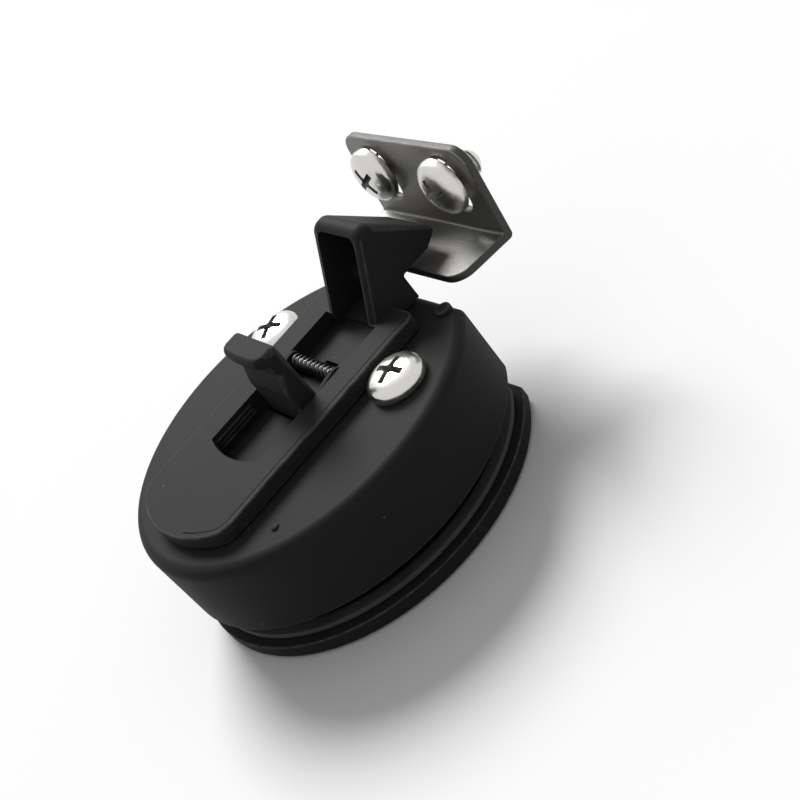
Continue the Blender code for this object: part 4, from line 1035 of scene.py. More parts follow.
@dataclass
class RearHousing:
    """Oval shell behind the door, open below and slotted for the bolt."""

    shared: Shared
    oval: Oval
    side_wall: float = 2.2
    top_edge: float = 1.6
    rim_edge: float = 0.25
    slot_half_width: float = 7.7
    slot_y: Span = (-24.4, 9.9)
    slot_corner: float = 0.8
    slot_edge: float = 0.25
    boss_radius: float = 4.0
    screw_hole: float = 2.3
    seat_half_width: float = 4.0
    seat_y: Span = (-30.4, -27.2)
    seat_z: Span = (3.0, 10.0)
    pip_at: Point = (15.3, -20.6)
    pip_radius: float = 0.55
    pip_height: float = 0.35
    pip_edge: float = 0.245
    lug_radius: float = 1.1
    lug_margin: float = 0.3
    lug_setback: float = 0.4
    lug_height: float = 0.7
    lug_edge: float = 0.3

    def shell(self) -> Solid:
        """Outer wall and top with their rounded edge, hollowed from below."""
        solid = self.oval.solid(0.0, (0.0, self.shared.housing_top), self.rim_edge, self.top_edge)
        return solid.cut(self.oval.solid(self.side_wall, (-OVERLAP, self.shared.ceiling)))

    def slotted(self, solid: Solid) -> Solid:
        """Cut the bolt's slot and round its upper edge.

        Args:
            solid: the shell.

        Returns:
            The slotted shell.
        """
        top = self.shared.housing_top
        plan = rounded_rectangle(span(self.slot_half_width), self.slot_y, self.slot_corner, 8)
        solid.cut(Solid.prism(plan, Axis.Z, self.shared.ceiling - OVERLAP, top + OVERLAP))
        reach = self.slot_half_width + NEAR_ZERO
        return solid.soften(lambda co: near(co.z, top) and abs(co.x) < reach, self.slot_edge)

    def fittings(self, solid: Solid) -> Solid:
        """Add the screw bosses, the spring's seat, the pip and the two corner lugs.

        Args:
            solid: the slotted shell.

        Returns:
            The whole housing.
        """
        top, low = self.shared.housing_top, self.shared.boss_split
        x, y = self.shared.screw_at
        for side in SIDES:
            solid.add(Solid.upright(self.boss_radius, (side * x, y), (low, top - OVERLAP)))
        solid.add(Solid.box(span(self.seat_half_width), self.seat_y, self.seat_z))
        for side in SIDES:
            solid.cut(Solid.upright(self.screw_hole, (side * x, y), (low - OVERLAP, top + OVERLAP)))
        pip_top, lug_top = top + self.pip_height, top + self.lug_height
        pip = Solid.upright(self.pip_radius, self.pip_at, (top - OVERLAP, pip_top), 32)
        solid.add(pip.soften(lambda co: near(co.z, pip_top), self.pip_edge, 4))
        lug_x = self.oval.corner_x() - self.lug_radius - self.lug_margin
        lug_y = self.oval.flat_y - self.lug_radius - self.lug_setback
        lug_z = (self.shared.tray_bottom, lug_top)
        for side in SIDES:
            lug = Solid.upright(self.lug_radius, (side * lug_x, lug_y), lug_z, 48)
            solid.add(lug.soften(lambda co: near(co.z, lug_top), self.lug_edge, 4))
        return solid

    def build(self) -> None:
        """Build and dress the housing."""
        solid = self.fittings(self.slotted(self.shell()))
        publish(solid, "housing_shell", NYLON, Body.HOUSING, "rear_housing")


@dataclass
class PanScrew:
    """Pan-head screw with a cross recess."""

    head_radius: float = 4.05
    head_height: float = 2.5
    rim_height: float = 0.65
    rim_round: float = 0.18
    fullness: float = 2.35
    shank_radius: float = 2.0
    thread_depth: float = 0.32
    pitch: float = 0.7
    crest_half_width: float = 0.04
    plain_length: float = 1.2
    neck_length: float = 0.3
    tip_share: float = 0.7
    tip_slope: float = 0.3
    recess_half_length: float = 2.2
    recess_half_width: float = 0.45
    recess_centre: Span = (0.5, 0.85)
    recess_depth: float = 1.7
    recess_rim_depth: float = 0.35
    recess_tip_half_length: float = 0.8
    centre_drop: float = 0.1
    centre_rise: float = 0.2
    # Reach of the recess's dark colour (dirt and painted shade) past the recess and below the dome.
    dirt_shade_margin: float = 0.2
    dirt_shade_depth: float = 0.06

    def shank(self, length: float) -> list[Point]:
        """Profile of the threaded shank, from its tip up to the head.

        Args:
            length: length of the shank.

        Returns:
            The profile's (radius, z) points.
        """
        wide, crest = self.shank_radius, self.crest_half_width
        root = wide - self.thread_depth
        start = -length + root * self.tip_slope
        points = [(0.0, -length), (root * self.tip_share, -length), (root, start)]
        for turn in range(int((length - self.plain_length) / self.pitch)):
            z = start + (turn + 0.5) * self.pitch
            points += [(wide, z - crest), (wide, z + crest), (root, z + self.pitch / 2)]
        return points + [(root, -self.neck_length), (wide, -self.neck_length), (wide, 0.0)]

    def head(self) -> list[Point]:
        """Profile of the domed head, from its underside to its top.

        Returns:
            The profile's (radius, z) points.
        """
        radius, rim = self.head_radius, self.rim_height
        points = [(radius - self.rim_round, 0.0), (radius, self.rim_round)]
        power, dome = 2 / self.fullness, self.head_height - rim
        turns = quarter(20)[:-1]
        points += [(radius * math.cos(a) ** power, rim + dome * math.sin(a) ** power) for a in turns]
        return points + [(0.0, self.head_height)]

    def blade(self, turn: float) -> Solid:
        """One tapered blade of the cross recess.

        Args:
            turn: how far it is turned about the screw.

        Returns:
            The closed solid.
        """
        top, wide, tip = self.head_height, self.recess_half_length, self.recess_tip_half_length
        rim, floor, above = top - self.recess_rim_depth, top - self.recess_depth, top + OVERLAP
        outline = [(-wide, above), (-wide, rim), (-tip, floor), (tip, floor), (wide, rim), (wide, above)]
        blade = Solid.prism(outline, Axis.Y, -self.recess_half_width, self.recess_half_width)
        return blade.placed(Matrix.Rotation(turn, 4, "Z"))

    def solid(self, place: Matrix, length: float, turn: float) -> Solid:
        """The whole screw.

        Args:
            place: where the underside of its head goes, with z along the screw, out of the head.
            length: length of the shank.
            turn: how far the recess is turned.

        Returns:
            The closed solid.
        """
        solid = Solid.turned(self.shank(length) + self.head())
        cross = self.blade(turn).add(self.blade(turn + math.pi / 2)).add(self.centre())
        # Faces in the recess are marked for their dark colour: dirt and painted shade.
        return solid.cut(cross).mark("deep", self.in_recess).placed(place)

    def centre(self) -> Solid:
        """Cone in the middle of the cross recess.

        Returns:
            The closed solid.
        """
        low, high = self.recess_centre
        floor = self.head_height - self.recess_depth - self.centre_drop
        above = self.head_height + self.centre_rise
        return Solid.turned([(0.0, floor), (low, floor), (high, above), (0.0, above)], 32)

    def in_recess(self, co: Vector) -> bool:
        """True for a place below the dome's surface and within the recess's reach.

        Args:
            co: a place on the unplaced screw.

        Returns:
            Whether it lies in the recess.
        """
        radius = math.hypot(co.x, co.y)
        if radius > self.recess_half_length + self.dirt_shade_margin or co.z < 0.0:
            return False
        swell = (1 - (radius / self.head_radius) ** self.fullness) ** (1 / self.fullness)
        dome = self.rim_height + (self.head_height - self.rim_height) * swell
        return co.z < dome - self.dirt_shade_depth


@dataclass
class BodyScrews:
    """The two screws that pull the housing and the bezel together."""

    shared: Shared
    screw: PanScrew
    seat_gap: float = 0.1
    length: float = 13.0
    turns: tuple[float, float] = (math.radians(25.0), math.radians(10.0))

    def build(self) -> None:
        """Build and dress both screws."""
        x, y = self.shared.screw_at
        for (hand, side), turn in zip(HANDS, self.turns):
            seat = (side * x, y, self.shared.housing_top + self.seat_gap)
            solid = self.screw.solid(Matrix.Translation(seat), self.length, turn)
            publish(solid, f"clamp_screw_{hand}", NICKEL, Body.HOUSING, f"body_screw_{hand}")


@dataclass
class SlideBolt:
    """Hooked slide: plate with window, tray through the slot, hollow hook and driving legs."""

    shared: Shared
    half_width: float = 10.9
    near_y: float = -28.9
    far_y: float = 11.6
    end_radius: float = 17.0
    near_corner: float = 3.6
    far_corner: float = 1.6
    plate_edge: float = 0.25
    plate_under_edge: float = 0.2
    groove_inset: float = 0.8
    groove_width: float = 0.15
    groove_depth: float = 0.2
    groove_start_x: float = 4.0
    window_half_width: float = 6.1
    window_near_y: float = -16.3
    window_edge: float = 0.22
    near_floor: float = 11.2
    far_floor: float = 12.0
    opening_y: Span = (-7.0, 1.8)
    tray_half_width: float = 7.3
    tray_y: Span = (-18.0, 9.5)
    tray_lap: float = 0.5
    rib_levels: tuple[float, ...] = (12.35, 12.95, 13.55)
    rib_reach: float = 0.35
    rib_thickness: float = 0.26
    rib_root: float = 0.3
    rib_edge: float = 0.08
    rib_y: Span = (-15.2, -8.3)
    leg_x: Span = (2.3, 4.4)
    leg_y: Span = (1.8, 4.0)
    leg_bottom: float = 3.0
    leg_edge: float = 0.3
    hook_half_width: float = 5.8
    hook_wall: float = 1.3
    hook_back_y: float = 8.0
    neck_y: float = 15.4
    nose_y: float = 23.0
    nose_z: float = 15.6
    nose_face: float = 2.0
    nose_under_z: float = 16.2
    nose_under_y: float = 20.4
    crown_y: Span = (13.95, 15.65)
    crown_z: float = 25.3
    crown_radius: float = 1.6
    neck_round: float = 0.4
    under_round: float = 1.0
    nose_round: float = 0.3
    hook_seam: float = 0.02
    hook_roll: float = 1.7
    crown_share: float = 0.8
    back_share: float = 0.3
    slope_share: float = 0.6
    nose_share: float = 0.2
    hollow_floor: float = 12.7
    hollow_step_y: float = 9.1
    hollow_front_wall: float = 1.8
    hollow_step_rise: float = 1.4
    hollow_shoulder_rise: float = 2.4
    hollow_top_wall: float = 0.75
    hollow_slope_wall: float = 1.1
    hollow_arch: float = 1.3
    hollow_out: float = 3.0
    hollow_lead: Point = (7.0, 3.5)
    hollow_rounds: Point = (0.4, 0.5)
    hollow_lap: float = 0.3
    floor_lap: float = 0.4
    opening_lap: float = 0.5
    tail_slot_half_width: float = 1.5
    tail_slot_y: Span = (2.4, 4.7)
    tail_slot_roof: float = 0.2
    pin_bore: float = 0.7
    pin_reach: float = 8.25

    def outline(self, inset: float) -> list[Point]:
        """Plan of the plate some way inside its edge, with a shallow round near end.

        Args:
            inset: how far inside the edge.

        Returns:
            The outline's points.
        """
        centre_y = self.near_y + self.end_radius
        cx = self.half_width - self.near_corner
        drop = math.sqrt((self.end_radius - self.near_corner) ** 2 - cx ** 2)
        meet, corner, far = math.atan2(cx, drop), self.near_corner - inset, self.far_corner
        right = arc((0.0, centre_y), self.end_radius - inset, -math.pi / 2, meet, 14)
        right += arc((cx, centre_y - drop), corner, meet - math.pi / 2, math.pi / 2 - meet, 14)[1:]
        right += arc((self.half_width - far, self.far_y - far), far - inset, 0.0, math.pi / 2, 8)
        return right + [(-x, y) for x, y in reversed(right[1:])]

    def plate(self) -> Solid:
        """Long plate with crisp upper edges.

        Returns:
            The closed solid.
        """
        low, top = self.shared.plate_bottom, self.shared.plate_top
        solid = Solid.prism(self.outline(0.0), Axis.Z, low, top)
        solid.soften(lambda co: near(co.z, top), self.plate_edge, 3)
        return solid.soften(lambda co: near(co.z, low), self.plate_under_edge, 2)

    def grooved(self, solid: Solid) -> Solid:
        """Cut the fine groove that sets off a flat strip along the right edge.

        Args:
            solid: the plate.

        Returns:
            The grooved plate.
        """
        top, inset = self.shared.plate_top, self.groove_inset
        low = top - self.groove_depth
        past = (low - OVERLAP, top + 2 * OVERLAP)
        ring = Solid.prism(self.outline(inset), Axis.Z, low, top + OVERLAP)
        ring.cut(Solid.prism(self.outline(inset + self.groove_width), Axis.Z, *past))
        reach_y = (self.near_y, self.far_y - self.far_corner)
        return solid.cut(ring.keep(Solid.box((self.groove_start_x, self.half_width), reach_y, past)))

    def hook_ring(self, inset: float) -> list[Point]:
        """Side view of the hook, its back, crown and slope some way inside their true place.

        Args:
            inset: how far they are drawn in.

        Returns:
            The outline's points.
        """
        base = self.shared.tray_bottom + self.hook_wall
        root, ledge = self.shared.plate_bottom + self.hook_seam, self.shared.plate_top - self.hook_seam
        back, wall_y, crown_z = self.hook_back_y, self.hook_back_y + self.hook_wall, self.crown_z - inset
        nose = Vector((self.nose_y, self.nose_z + self.nose_face))
        rear = Vector((self.crown_y[0] - back, self.crown_z - self.shared.plate_top)).normalized()
        slope = (nose - Vector((self.crown_y[1], self.crown_z))).normalized()
        under = (nose - Vector((self.nose_under_y, self.nose_under_z))).normalized()
        rear_y = self.back_share * inset / rear.y
        rear_crown = self.crown_y[0] + inset * (self.back_share - rear.x) / rear.y
        slope_crown = self.crown_y[1] - inset * (self.slope_share - slope.x) / -slope.y
        tip = nose - under * (self.nose_share * inset / under.dot((-slope.y, slope.x)))
        radius = self.crown_radius - self.crown_share * inset
        return rounded([
            (back, base, 0), (wall_y, base, 0), (wall_y, root, 0), (self.neck_y, root, 0),
            (self.neck_y, self.nose_under_z, self.neck_round),
            (self.nose_under_y, self.nose_under_z, self.under_round), (tip.x, tip.y, self.nose_round),
            (slope_crown, crown_z, radius), (rear_crown, crown_z, radius),
            (back + rear_y, ledge, 0), (back, ledge, 0),
        ], 12)

    def hook(self) -> Solid:
        """Hook with its back, crown and slope rolled over into both sides.

        Returns:
            The closed solid.
        """
        half, radius = self.hook_half_width, self.hook_roll
        rolled = [(radius * (1 - math.sin(a)), half - radius * (1 - math.cos(a))) for a in quarter(8)]
        places = [(inset, -x) for inset, x in rolled] + [(inset, x) for inset, x in reversed(rolled)]
        return Solid.loft([(self.hook_ring(inset), x) for inset, x in places], Axis.X)

    def slope_y(self, z: float) -> float:
        """Y of the nose's sloping front at a height."""
        low = self.nose_z + self.nose_face
        return self.nose_y + (self.crown_y[1] - self.nose_y) * (z - low) / (self.crown_z - low)

    def hollow(self) -> Solid:
        """Cutter of the hook's hollow, arched at its top.

        Returns:
            The closed solid.
        """
        step_y, step_z = self.neck_y - self.hollow_front_wall, self.nose_z + self.hollow_step_rise
        top, shoulder = self.crown_z - self.hollow_top_wall, self.nose_z + self.hollow_shoulder_rise
        rise = self.crown_z - self.nose_z - self.nose_face
        wall = self.hollow_slope_wall * math.hypot(self.nose_y - self.crown_y[1], rise) / rise
        out, floor = self.hook_back_y - self.hollow_out, self.hollow_floor
        (step_round, top_round), (lead_y, lead_z) = self.hollow_rounds, self.hollow_lead
        outline = rounded([
            (out, floor, 0), (step_y, floor, step_round), (step_y, step_z, 0),
            (self.slope_y(shoulder) - wall, step_z, 0), (self.slope_y(shoulder) - wall, shoulder, 0),
            (self.slope_y(top) - wall, top, top_round), (out + lead_y, top, 0), (out, top - lead_z, 0),
        ], 8)
        inside = self.hook_half_width - self.hook_wall
        solid = Solid.prism(outline, Axis.X, -inside, inside)
        low, arch = floor - OVERLAP, self.hollow_arch
        front = rounded([
            (inside, low, 0), (inside, top, arch), (-inside, top, arch), (-inside, low, 0),
        ], 12)
        return solid.keep(Solid.prism(front, Axis.Y, out - OVERLAP, self.nose_y))

    def window(self, solid: Solid) -> Solid:
        """Cut the window, the opening between its two floors and the slot for the lever's tail.

        Args:
            solid: plate, tray and hook in one.

        Returns:
            The cut solid.
        """
        above, below = self.shared.plate_top + OVERLAP, self.shared.tray_bottom - OVERLAP
        wide, half, (near_y, far_y) = span(self.window_half_width), self.window_half_width, self.opening_y
        reach = math.asin(half / self.end_radius)
        centre = (0.0, self.window_near_y + self.end_radius)
        bow = arc(centre, self.end_radius, -math.pi / 2 - reach, 2 * reach, 24)
        outline = bow + [(half, near_y + self.floor_lap), (-half, near_y + self.floor_lap)]
        solid.cut(Solid.prism(outline, Axis.Z, self.near_floor, above))
        solid.cut(Solid.box(wide, self.opening_y, (below, above)))
        solid.cut(Solid.box(wide, (far_y - self.opening_lap, self.hook_back_y), (self.far_floor, above)))
        inside = self.hook_half_width - self.hook_wall
        deep_y = (self.hook_back_y - OVERLAP, self.hollow_step_y)
        deep_z = (self.far_floor, self.hollow_floor + self.hollow_lap)
        solid.cut(Solid.box(span(inside), deep_y, deep_z))
        slot, (open_y, end_y) = span(self.tail_slot_half_width), self.tail_slot_y
        solid.cut(Solid.box(slot, (far_y - OVERLAP, end_y), (below, self.far_floor - self.tail_slot_roof)))
        return solid.cut(Solid.box(slot, (far_y - OVERLAP, open_y), (below, above)))

    def ribs(self, solid: Solid) -> Solid:
        """Add the fine ribs along the window's side walls.

        Args:
            solid: the bolt with its window.

        Returns:
            The ribbed bolt.
        """
        half = self.window_half_width
        for side in SIDES:
            for level in self.rib_levels:
                rib_z = (level - self.rib_thickness / 2, level + self.rib_thickness / 2)
                rib = Solid.box(sided(side, half - self.rib_reach, half + self.rib_root), self.rib_y, rib_z)
                solid.add(rib.soften(lambda co: abs(co.x) < half, self.rib_edge, 2))
        return solid

    def build(self) -> None:
        """Build and dress the bolt."""
        shared, solid = self.shared, self.grooved(self.plate())
        tray_z = (shared.tray_bottom, shared.plate_bottom + self.tray_lap)
        solid.add(Solid.box(span(self.tray_half_width), self.tray_y, tray_z))
        leg_z = (self.leg_bottom, shared.tray_bottom + OVERLAP)
        for side in SIDES:
            leg = Solid.box(sided(side, *self.leg_x), self.leg_y, leg_z)
            solid.add(leg.soften(lambda co: near(co.z, self.leg_bottom), self.leg_edge, 3))
        solid.add(self.hook()).cut(self.hollow())
        self.window(solid)
        top, reach = shared.plate_top, self.window_half_width + NEAR_ZERO
        solid.soften(lambda co: near(co.z, top) and abs(co.x) < reach, self.window_edge)
        self.ribs(solid)
        solid.cut(Solid.across(self.pin_bore, shared.lever_pivot, span(self.pin_reach), 40))
        publish(solid, "hook_slide", NYLON, Body.BOLT, "slide_bolt")


@dataclass
class ThumbLever:
    """Thumb lever: ear with a curled lip, post, foot, knuckles on the pin and a tail."""

    shared: Shared
    half_width: float = 5.2
    post_y: Span = (-6.5, -3.3)
    ear_height: float = 8.7
    ear_thickness: float = 1.7
    ear_front_y: float = -7.0
    ear_bow: float = 0.4
    ear_roll: float = 0.9
    ear_front_roll: float = 1.7
    ear_back_roll: float = 0.8
    ear_least_depth: float = 0.25
    lip_rounds: Point = (0.7, 0.6)
    crest_round: float = 0.6
    crest_share: float = 0.4
    under_round: float = 0.5
    foot_round: float = 0.5
    neck_rounds: Point = (2.0, 1.0)
    round_share: float = 0.45
    post_roll: float = 0.35
    ear_steps: int = 14
    neck_y: float = -5.6
    neck_z: Span = (16.6, 19.6)
    foot_z: float = 10.9
    foot_thickness: float = 1.2
    toe: float = 1.0
    knuckle_radius: float = 1.15
    cheek_x: Span = (5.15, 5.8)
    cheek_lap: float = 0.4
    cheek_back_z: Span = (-1.7, 0.6)
    cheek_front: tuple[Point, Point] = ((-0.7, -1.1), (-0.2, 1.1))
    tail_half_width: float = 1.3
    tail_half_thickness: float = 0.65
    tail_back: float = 2.7
    tail_front: float = 0.4
    tail_swell: float = 0.1
    tail_bends: Point = (3.9, 2.1)
    tail_skin: float = 0.05
    tip_radius: float = 1.0
    tip_z: float = 4.1
    bore: float = 0.7

    def rolled(self, x: float, radius: float) -> float:
        """How far an edge of this radius has turned in at a place across the ear."""
        past = max(0.0, abs(x) - self.half_width + radius)
        return radius - math.sqrt(max(0.0, radius ** 2 - past ** 2))

    def ear_ring(self, x: float) -> list[Point]:
        """Side view of foot, post and ear at a place across.

        Args:
            x: the place across.

        Returns:
            The outline's points.
        """
        rolled, (near_y, far_y) = self.rolled(x, self.post_roll), self.post_y
        top, toe = self.shared.plate_top + self.ear_height, self.shared.lever_pivot[0] - self.toe
        foot_top, under = self.foot_z + self.foot_thickness, top - self.ear_thickness
        crest = top - self.rolled(x, self.ear_roll)
        bow = self.ear_bow * (x / self.half_width) ** 2
        front = self.ear_front_y + bow + self.rolled(x, self.ear_front_roll)
        neck = max(self.neck_y + rolled, front + self.ear_least_depth)
        thick, deep = self.round_share * (crest - under), self.round_share * (neck - front)
        crest_round = min(self.crest_round, self.crest_share * (crest - under))
        (upper, lower), (post_round, neck_round) = self.lip_rounds, self.neck_rounds
        return rounded([
            (near_y + rolled, self.foot_z, 0), (toe, self.foot_z, 0), (toe, foot_top, 0),
            (far_y - rolled, foot_top, self.foot_round),
            (far_y - self.rolled(x, self.ear_back_roll), crest, crest_round),
            (front, crest, min(upper, thick)), (front, under, min(lower, thick, deep)),
            (neck, under, min(self.under_round, deep)),
            (neck, self.neck_z[1], neck_round), (near_y + rolled, self.neck_z[0], post_round),
        ], 8)

    def ear(self) -> Solid:
        """Foot, post and ear in one sweep across, bowed in front and rolled over at both ends.

        Returns:
            The closed solid.
        """
        steps = self.ear_steps
        turns = [math.pi / 2 * step / steps for step in range(-steps, steps + 1)]
        places = [self.half_width * math.sin(turn) for turn in turns]
        return Solid.loft([(self.ear_ring(x), x) for x in places], Axis.X)

    def tail(self) -> Solid:
        """Tail that reaches down to the bezel's pocket, with its round tip.

        Returns:
            The closed solid.
        """
        (y, z), (back_bend, front_bend) = self.shared.lever_pivot, self.tail_bends
        half, root_y = self.tail_half_thickness, y - self.tail_back
        low, high = self.foot_z + self.tail_skin, self.foot_z + self.foot_thickness - self.tail_skin
        outline = [
            (root_y, high), (root_y, low), (y - half - self.tail_swell, z - back_bend),
            (y - half, self.tip_z), (y + half, self.tip_z), (y + half, z - front_bend),
            (y + self.tail_front, high),
        ]
        solid = Solid.prism(outline, Axis.X, *span(self.tail_half_width))
        tip = Solid.across(self.tip_radius, (y, self.tip_z), span(self.tail_half_width - SLIVER))
        return solid.add(tip)

    def build(self) -> None:
        """Build and dress the lever."""
        pivot, back = self.shared.lever_pivot, self.post_y[1] - self.cheek_lap
        (y, z), (low_z, high_z) = pivot, self.cheek_back_z
        front = [(y + step, z + rise) for step, rise in self.cheek_front]
        cheek = [(back, z + low_z), *front, (back, z + high_z)]
        solid = self.ear()
        for side in SIDES:
            low, high = sided(side, *self.cheek_x)
            solid.add(Solid.prism(cheek, Axis.X, low, high))
            solid.add(Solid.across(self.knuckle_radius, pivot, (low, high)))
        solid.add(self.tail())
        solid.cut(Solid.across(self.bore, pivot, span(self.cheek_x[1] + OVERLAP), 40))
        publish(solid, "lever_ear", NYLON, Body.LEVER, "thumb_lever")


@dataclass
class Strike:
    """Angle strike folded from sheet, with its two screws."""

    screw: PanScrew
    fold_y: float = 26.6
    fold_z: float = 14.0
    lean: float = math.radians(6.0)
    thickness: float = 1.2
    flange: float = 9.0
    height: float = 13.0
    half_width: float = 14.0
    outer_bend: float = 0.7
    inner_bend: float = 0.35
    corner: float = 2.8
    edge: float = 0.22
    rim_skin: float = 0.15
    fold_reach: float = 0.5
    slot_x: float = 8.0
    slot_z: Span = (2.8, 11.2)
    slot_half_width: float = 2.3
    screw_z: float = 7.8
    head_gap: float = 0.5
    screw_length: float = 5.28
    turns: tuple[float, float] = (math.radians(35.0), math.radians(20.0))

    def place(self) -> Matrix:
        """Where the strike stands: its fold over the door's edge, leaning back."""
        fold = Matrix.Translation((0.0, self.fold_y, self.fold_z))
        return fold @ Matrix.Rotation(-self.lean, 4, "X")

    def sheet(self) -> Solid:
        """Folded sheet with rounded corners, slots and edges.

        Returns:
            The closed solid.
        """
        t = self.thickness
        outline = rounded([
            (0.0, 0.0, self.inner_bend), (0.0, self.height, 0), (t, self.height, 0),
            (t, -t, self.outer_bend), (-self.flange, -t, 0), (-self.flange, 0.0, 0),
        ])
        solid = Solid.prism(outline, Axis.X, *span(self.half_width))

        def is_corner(co: Vector) -> bool:
            """True at the free corners of both leaves."""
            free = near(co.z, self.height) or near(co.y, -self.flange)
            return free and near(abs(co.x), self.half_width)

        ends = [edge for edge in solid.bm.edges if all(is_corner(vert.co) for vert in edge.verts)]
        solid.bevel([e for e in ends if near(e.verts[0].co.x, e.verts[1].co.x)], self.corner, 12)
        half = self.slot_half_width
        for side in SIDES:
            x = side * self.slot_x
            slot = rounded_rectangle((x - half, x + half), self.slot_z, half - SLIVER, 14)
            solid.cut(Solid.prism(slot, Axis.Y, -OVERLAP, t + OVERLAP))
        solid.soften(lambda co: True, self.edge, 3)
        return solid.mark("rim", self.on_rim).placed(self.place())

    def on_rim(self, co: Vector) -> bool:
        """True for a place between the two sides of either leaf, or on the sheet's two ends.

        Args:
            co: a place on the unplaced sheet.

        Returns:
            Whether it lies on the sheared rim.
        """
        t, skin, fold = self.thickness, self.rim_skin, self.fold_reach
        upright = skin < co.y < t - skin and co.z > fold
        flange = skin - t < co.z < -skin and co.y < -fold
        return upright or flange or abs(co.x) > self.half_width - skin

    def build(self) -> None:
        """Build and dress the strike and its screws."""
        publish(self.sheet(), "strike_angle", STAINLESS, Body.HOUSING, "strike_plate")
        matrix = self.place()
        outwards = matrix.to_3x3() @ Vector((0.0, -1.0, 0.0))
        facing = outwards.to_track_quat("Z", "Y").to_matrix().to_4x4()
        for (hand, side), turn in zip(HANDS, self.turns):
            seat = matrix @ Vector((side * self.slot_x, -self.head_gap, self.screw_z))
            solid = self.screw.solid(Matrix.Translation(seat) @ facing, self.screw_length, turn)
            publish(solid, f"frame_screw_{hand}", NICKEL, Body.HOUSING, f"strike_screw_{hand}")


@dataclass
class FrontBezel:
    """Flange outside the door with the finger cup, screw bosses and the lever's pocket."""

    shared: Shared
    oval: Oval
    flange_edge: float = 0.9
    rear_edge: float = 0.2
    cup_half_width: float = 9.8
    cup_y: Span = (-24.2, 9.0)
    cup_wall: float = 1.6
    cup_corner: float = 3.4
    cup_edge: float = 0.5
    floor_end_y: float = 0.3
    boss_radius: float = 3.5
    insert_bore: float = 2.8
    insert_bottom: float = -2.4
    boss_lap: float = 0.6
    boss_gap: float = 0.3
    wall_edge: float = 0.4
    opening_corner: float = 1.2
    post_half_width: float = 1.9
    post_top: float = 7.7
    post_lap: float = 0.3
    pocket_y: Span = (-1.4, 1.6)
    pocket_wall: float = 1.2
    pocket_notch: float = 1.6
    notch_reach: float = 0.5
    pin_bore: float = 1.35

    def cup(self) -> Solid:
        """Flange with the cup joined on and hollowed.

        Returns:
            The closed solid.
        """
        shared, wide, wall = self.shared, self.cup_half_width, self.cup_wall
        front, rear, (low_y, high_y) = shared.bezel_front, shared.bezel_rear, self.cup_y
        floor, floor_top = shared.cup_floor, shared.cup_floor_top
        solid = self.oval.solid(0.0, (front, rear), self.flange_edge, self.rear_edge)
        outer = rounded_rectangle(span(wide + wall), (low_y - wall, high_y + wall), self.cup_corner + wall)
        body = Solid.prism(outer, Axis.Z, rear - OVERLAP, floor_top)
        solid.add(body.soften(lambda co: near(co.z, floor_top), self.wall_edge, 3))
        boss_z, (x, y) = (rear - self.boss_lap, shared.boss_split - self.boss_gap), shared.screw_at
        for side in SIDES:
            solid.add(Solid.upright(self.boss_radius, (side * x, y), boss_z))
        inner = rounded_rectangle(span(wide), self.cup_y, self.cup_corner)
        solid.cut(Solid.prism(inner, Axis.Z, front - OVERLAP, floor))

        def on_mouth(co: Vector) -> bool:
            """True on the cup's mouth in the front face."""
            along = low_y - NEAR_ZERO < co.y < high_y + NEAR_ZERO
            return along and near(co.z, front) and abs(co.x) < wide + NEAR_ZERO

        solid.soften(on_mouth, self.cup_edge, 4)
        behind = rounded_rectangle(span(wide), (self.floor_end_y, high_y), self.opening_corner, 5)
        return solid.cut(Solid.prism(behind, Axis.Z, floor - OVERLAP, floor_top + OVERLAP))

    def pocket(self, solid: Solid) -> Solid:
        """Add the pocket that holds the tip of the lever's tail.

        Args:
            solid: the cup.

        Returns:
            The cup with its pocket.
        """
        top, wall, past = self.post_top, self.pocket_wall, span(self.post_half_width + OVERLAP)
        (low, high), lap = self.pocket_y, self.post_lap
        post_z = (self.shared.cup_floor + lap, top)
        solid.add(Solid.box(span(self.post_half_width), (low - wall, high + wall), post_z))
        solid.cut(Solid.box(past, self.pocket_y, (self.shared.cup_floor_top + lap, top + OVERLAP)))
        notch_z = (top - self.pocket_notch, top + OVERLAP)
        return solid.cut(Solid.box(past, (low - wall - OVERLAP, low + self.notch_reach), notch_z))

    def build(self) -> None:
        """Build and dress the bezel."""
        solid = self.pocket(self.cup())
        bore_z, (x, y) = (self.insert_bottom, self.shared.boss_split + OVERLAP), self.shared.screw_at
        for side in SIDES:
            solid.cut(Solid.upright(self.insert_bore, (side * x, y), bore_z))
        pin_x = span(self.cup_half_width + self.cup_wall + OVERLAP)
        solid.cut(Solid.across(self.pin_bore, self.shared.paddle_pivot, pin_x))
        publish(solid, "bezel_cup", NYLON, Body.HOUSING, "front_bezel")


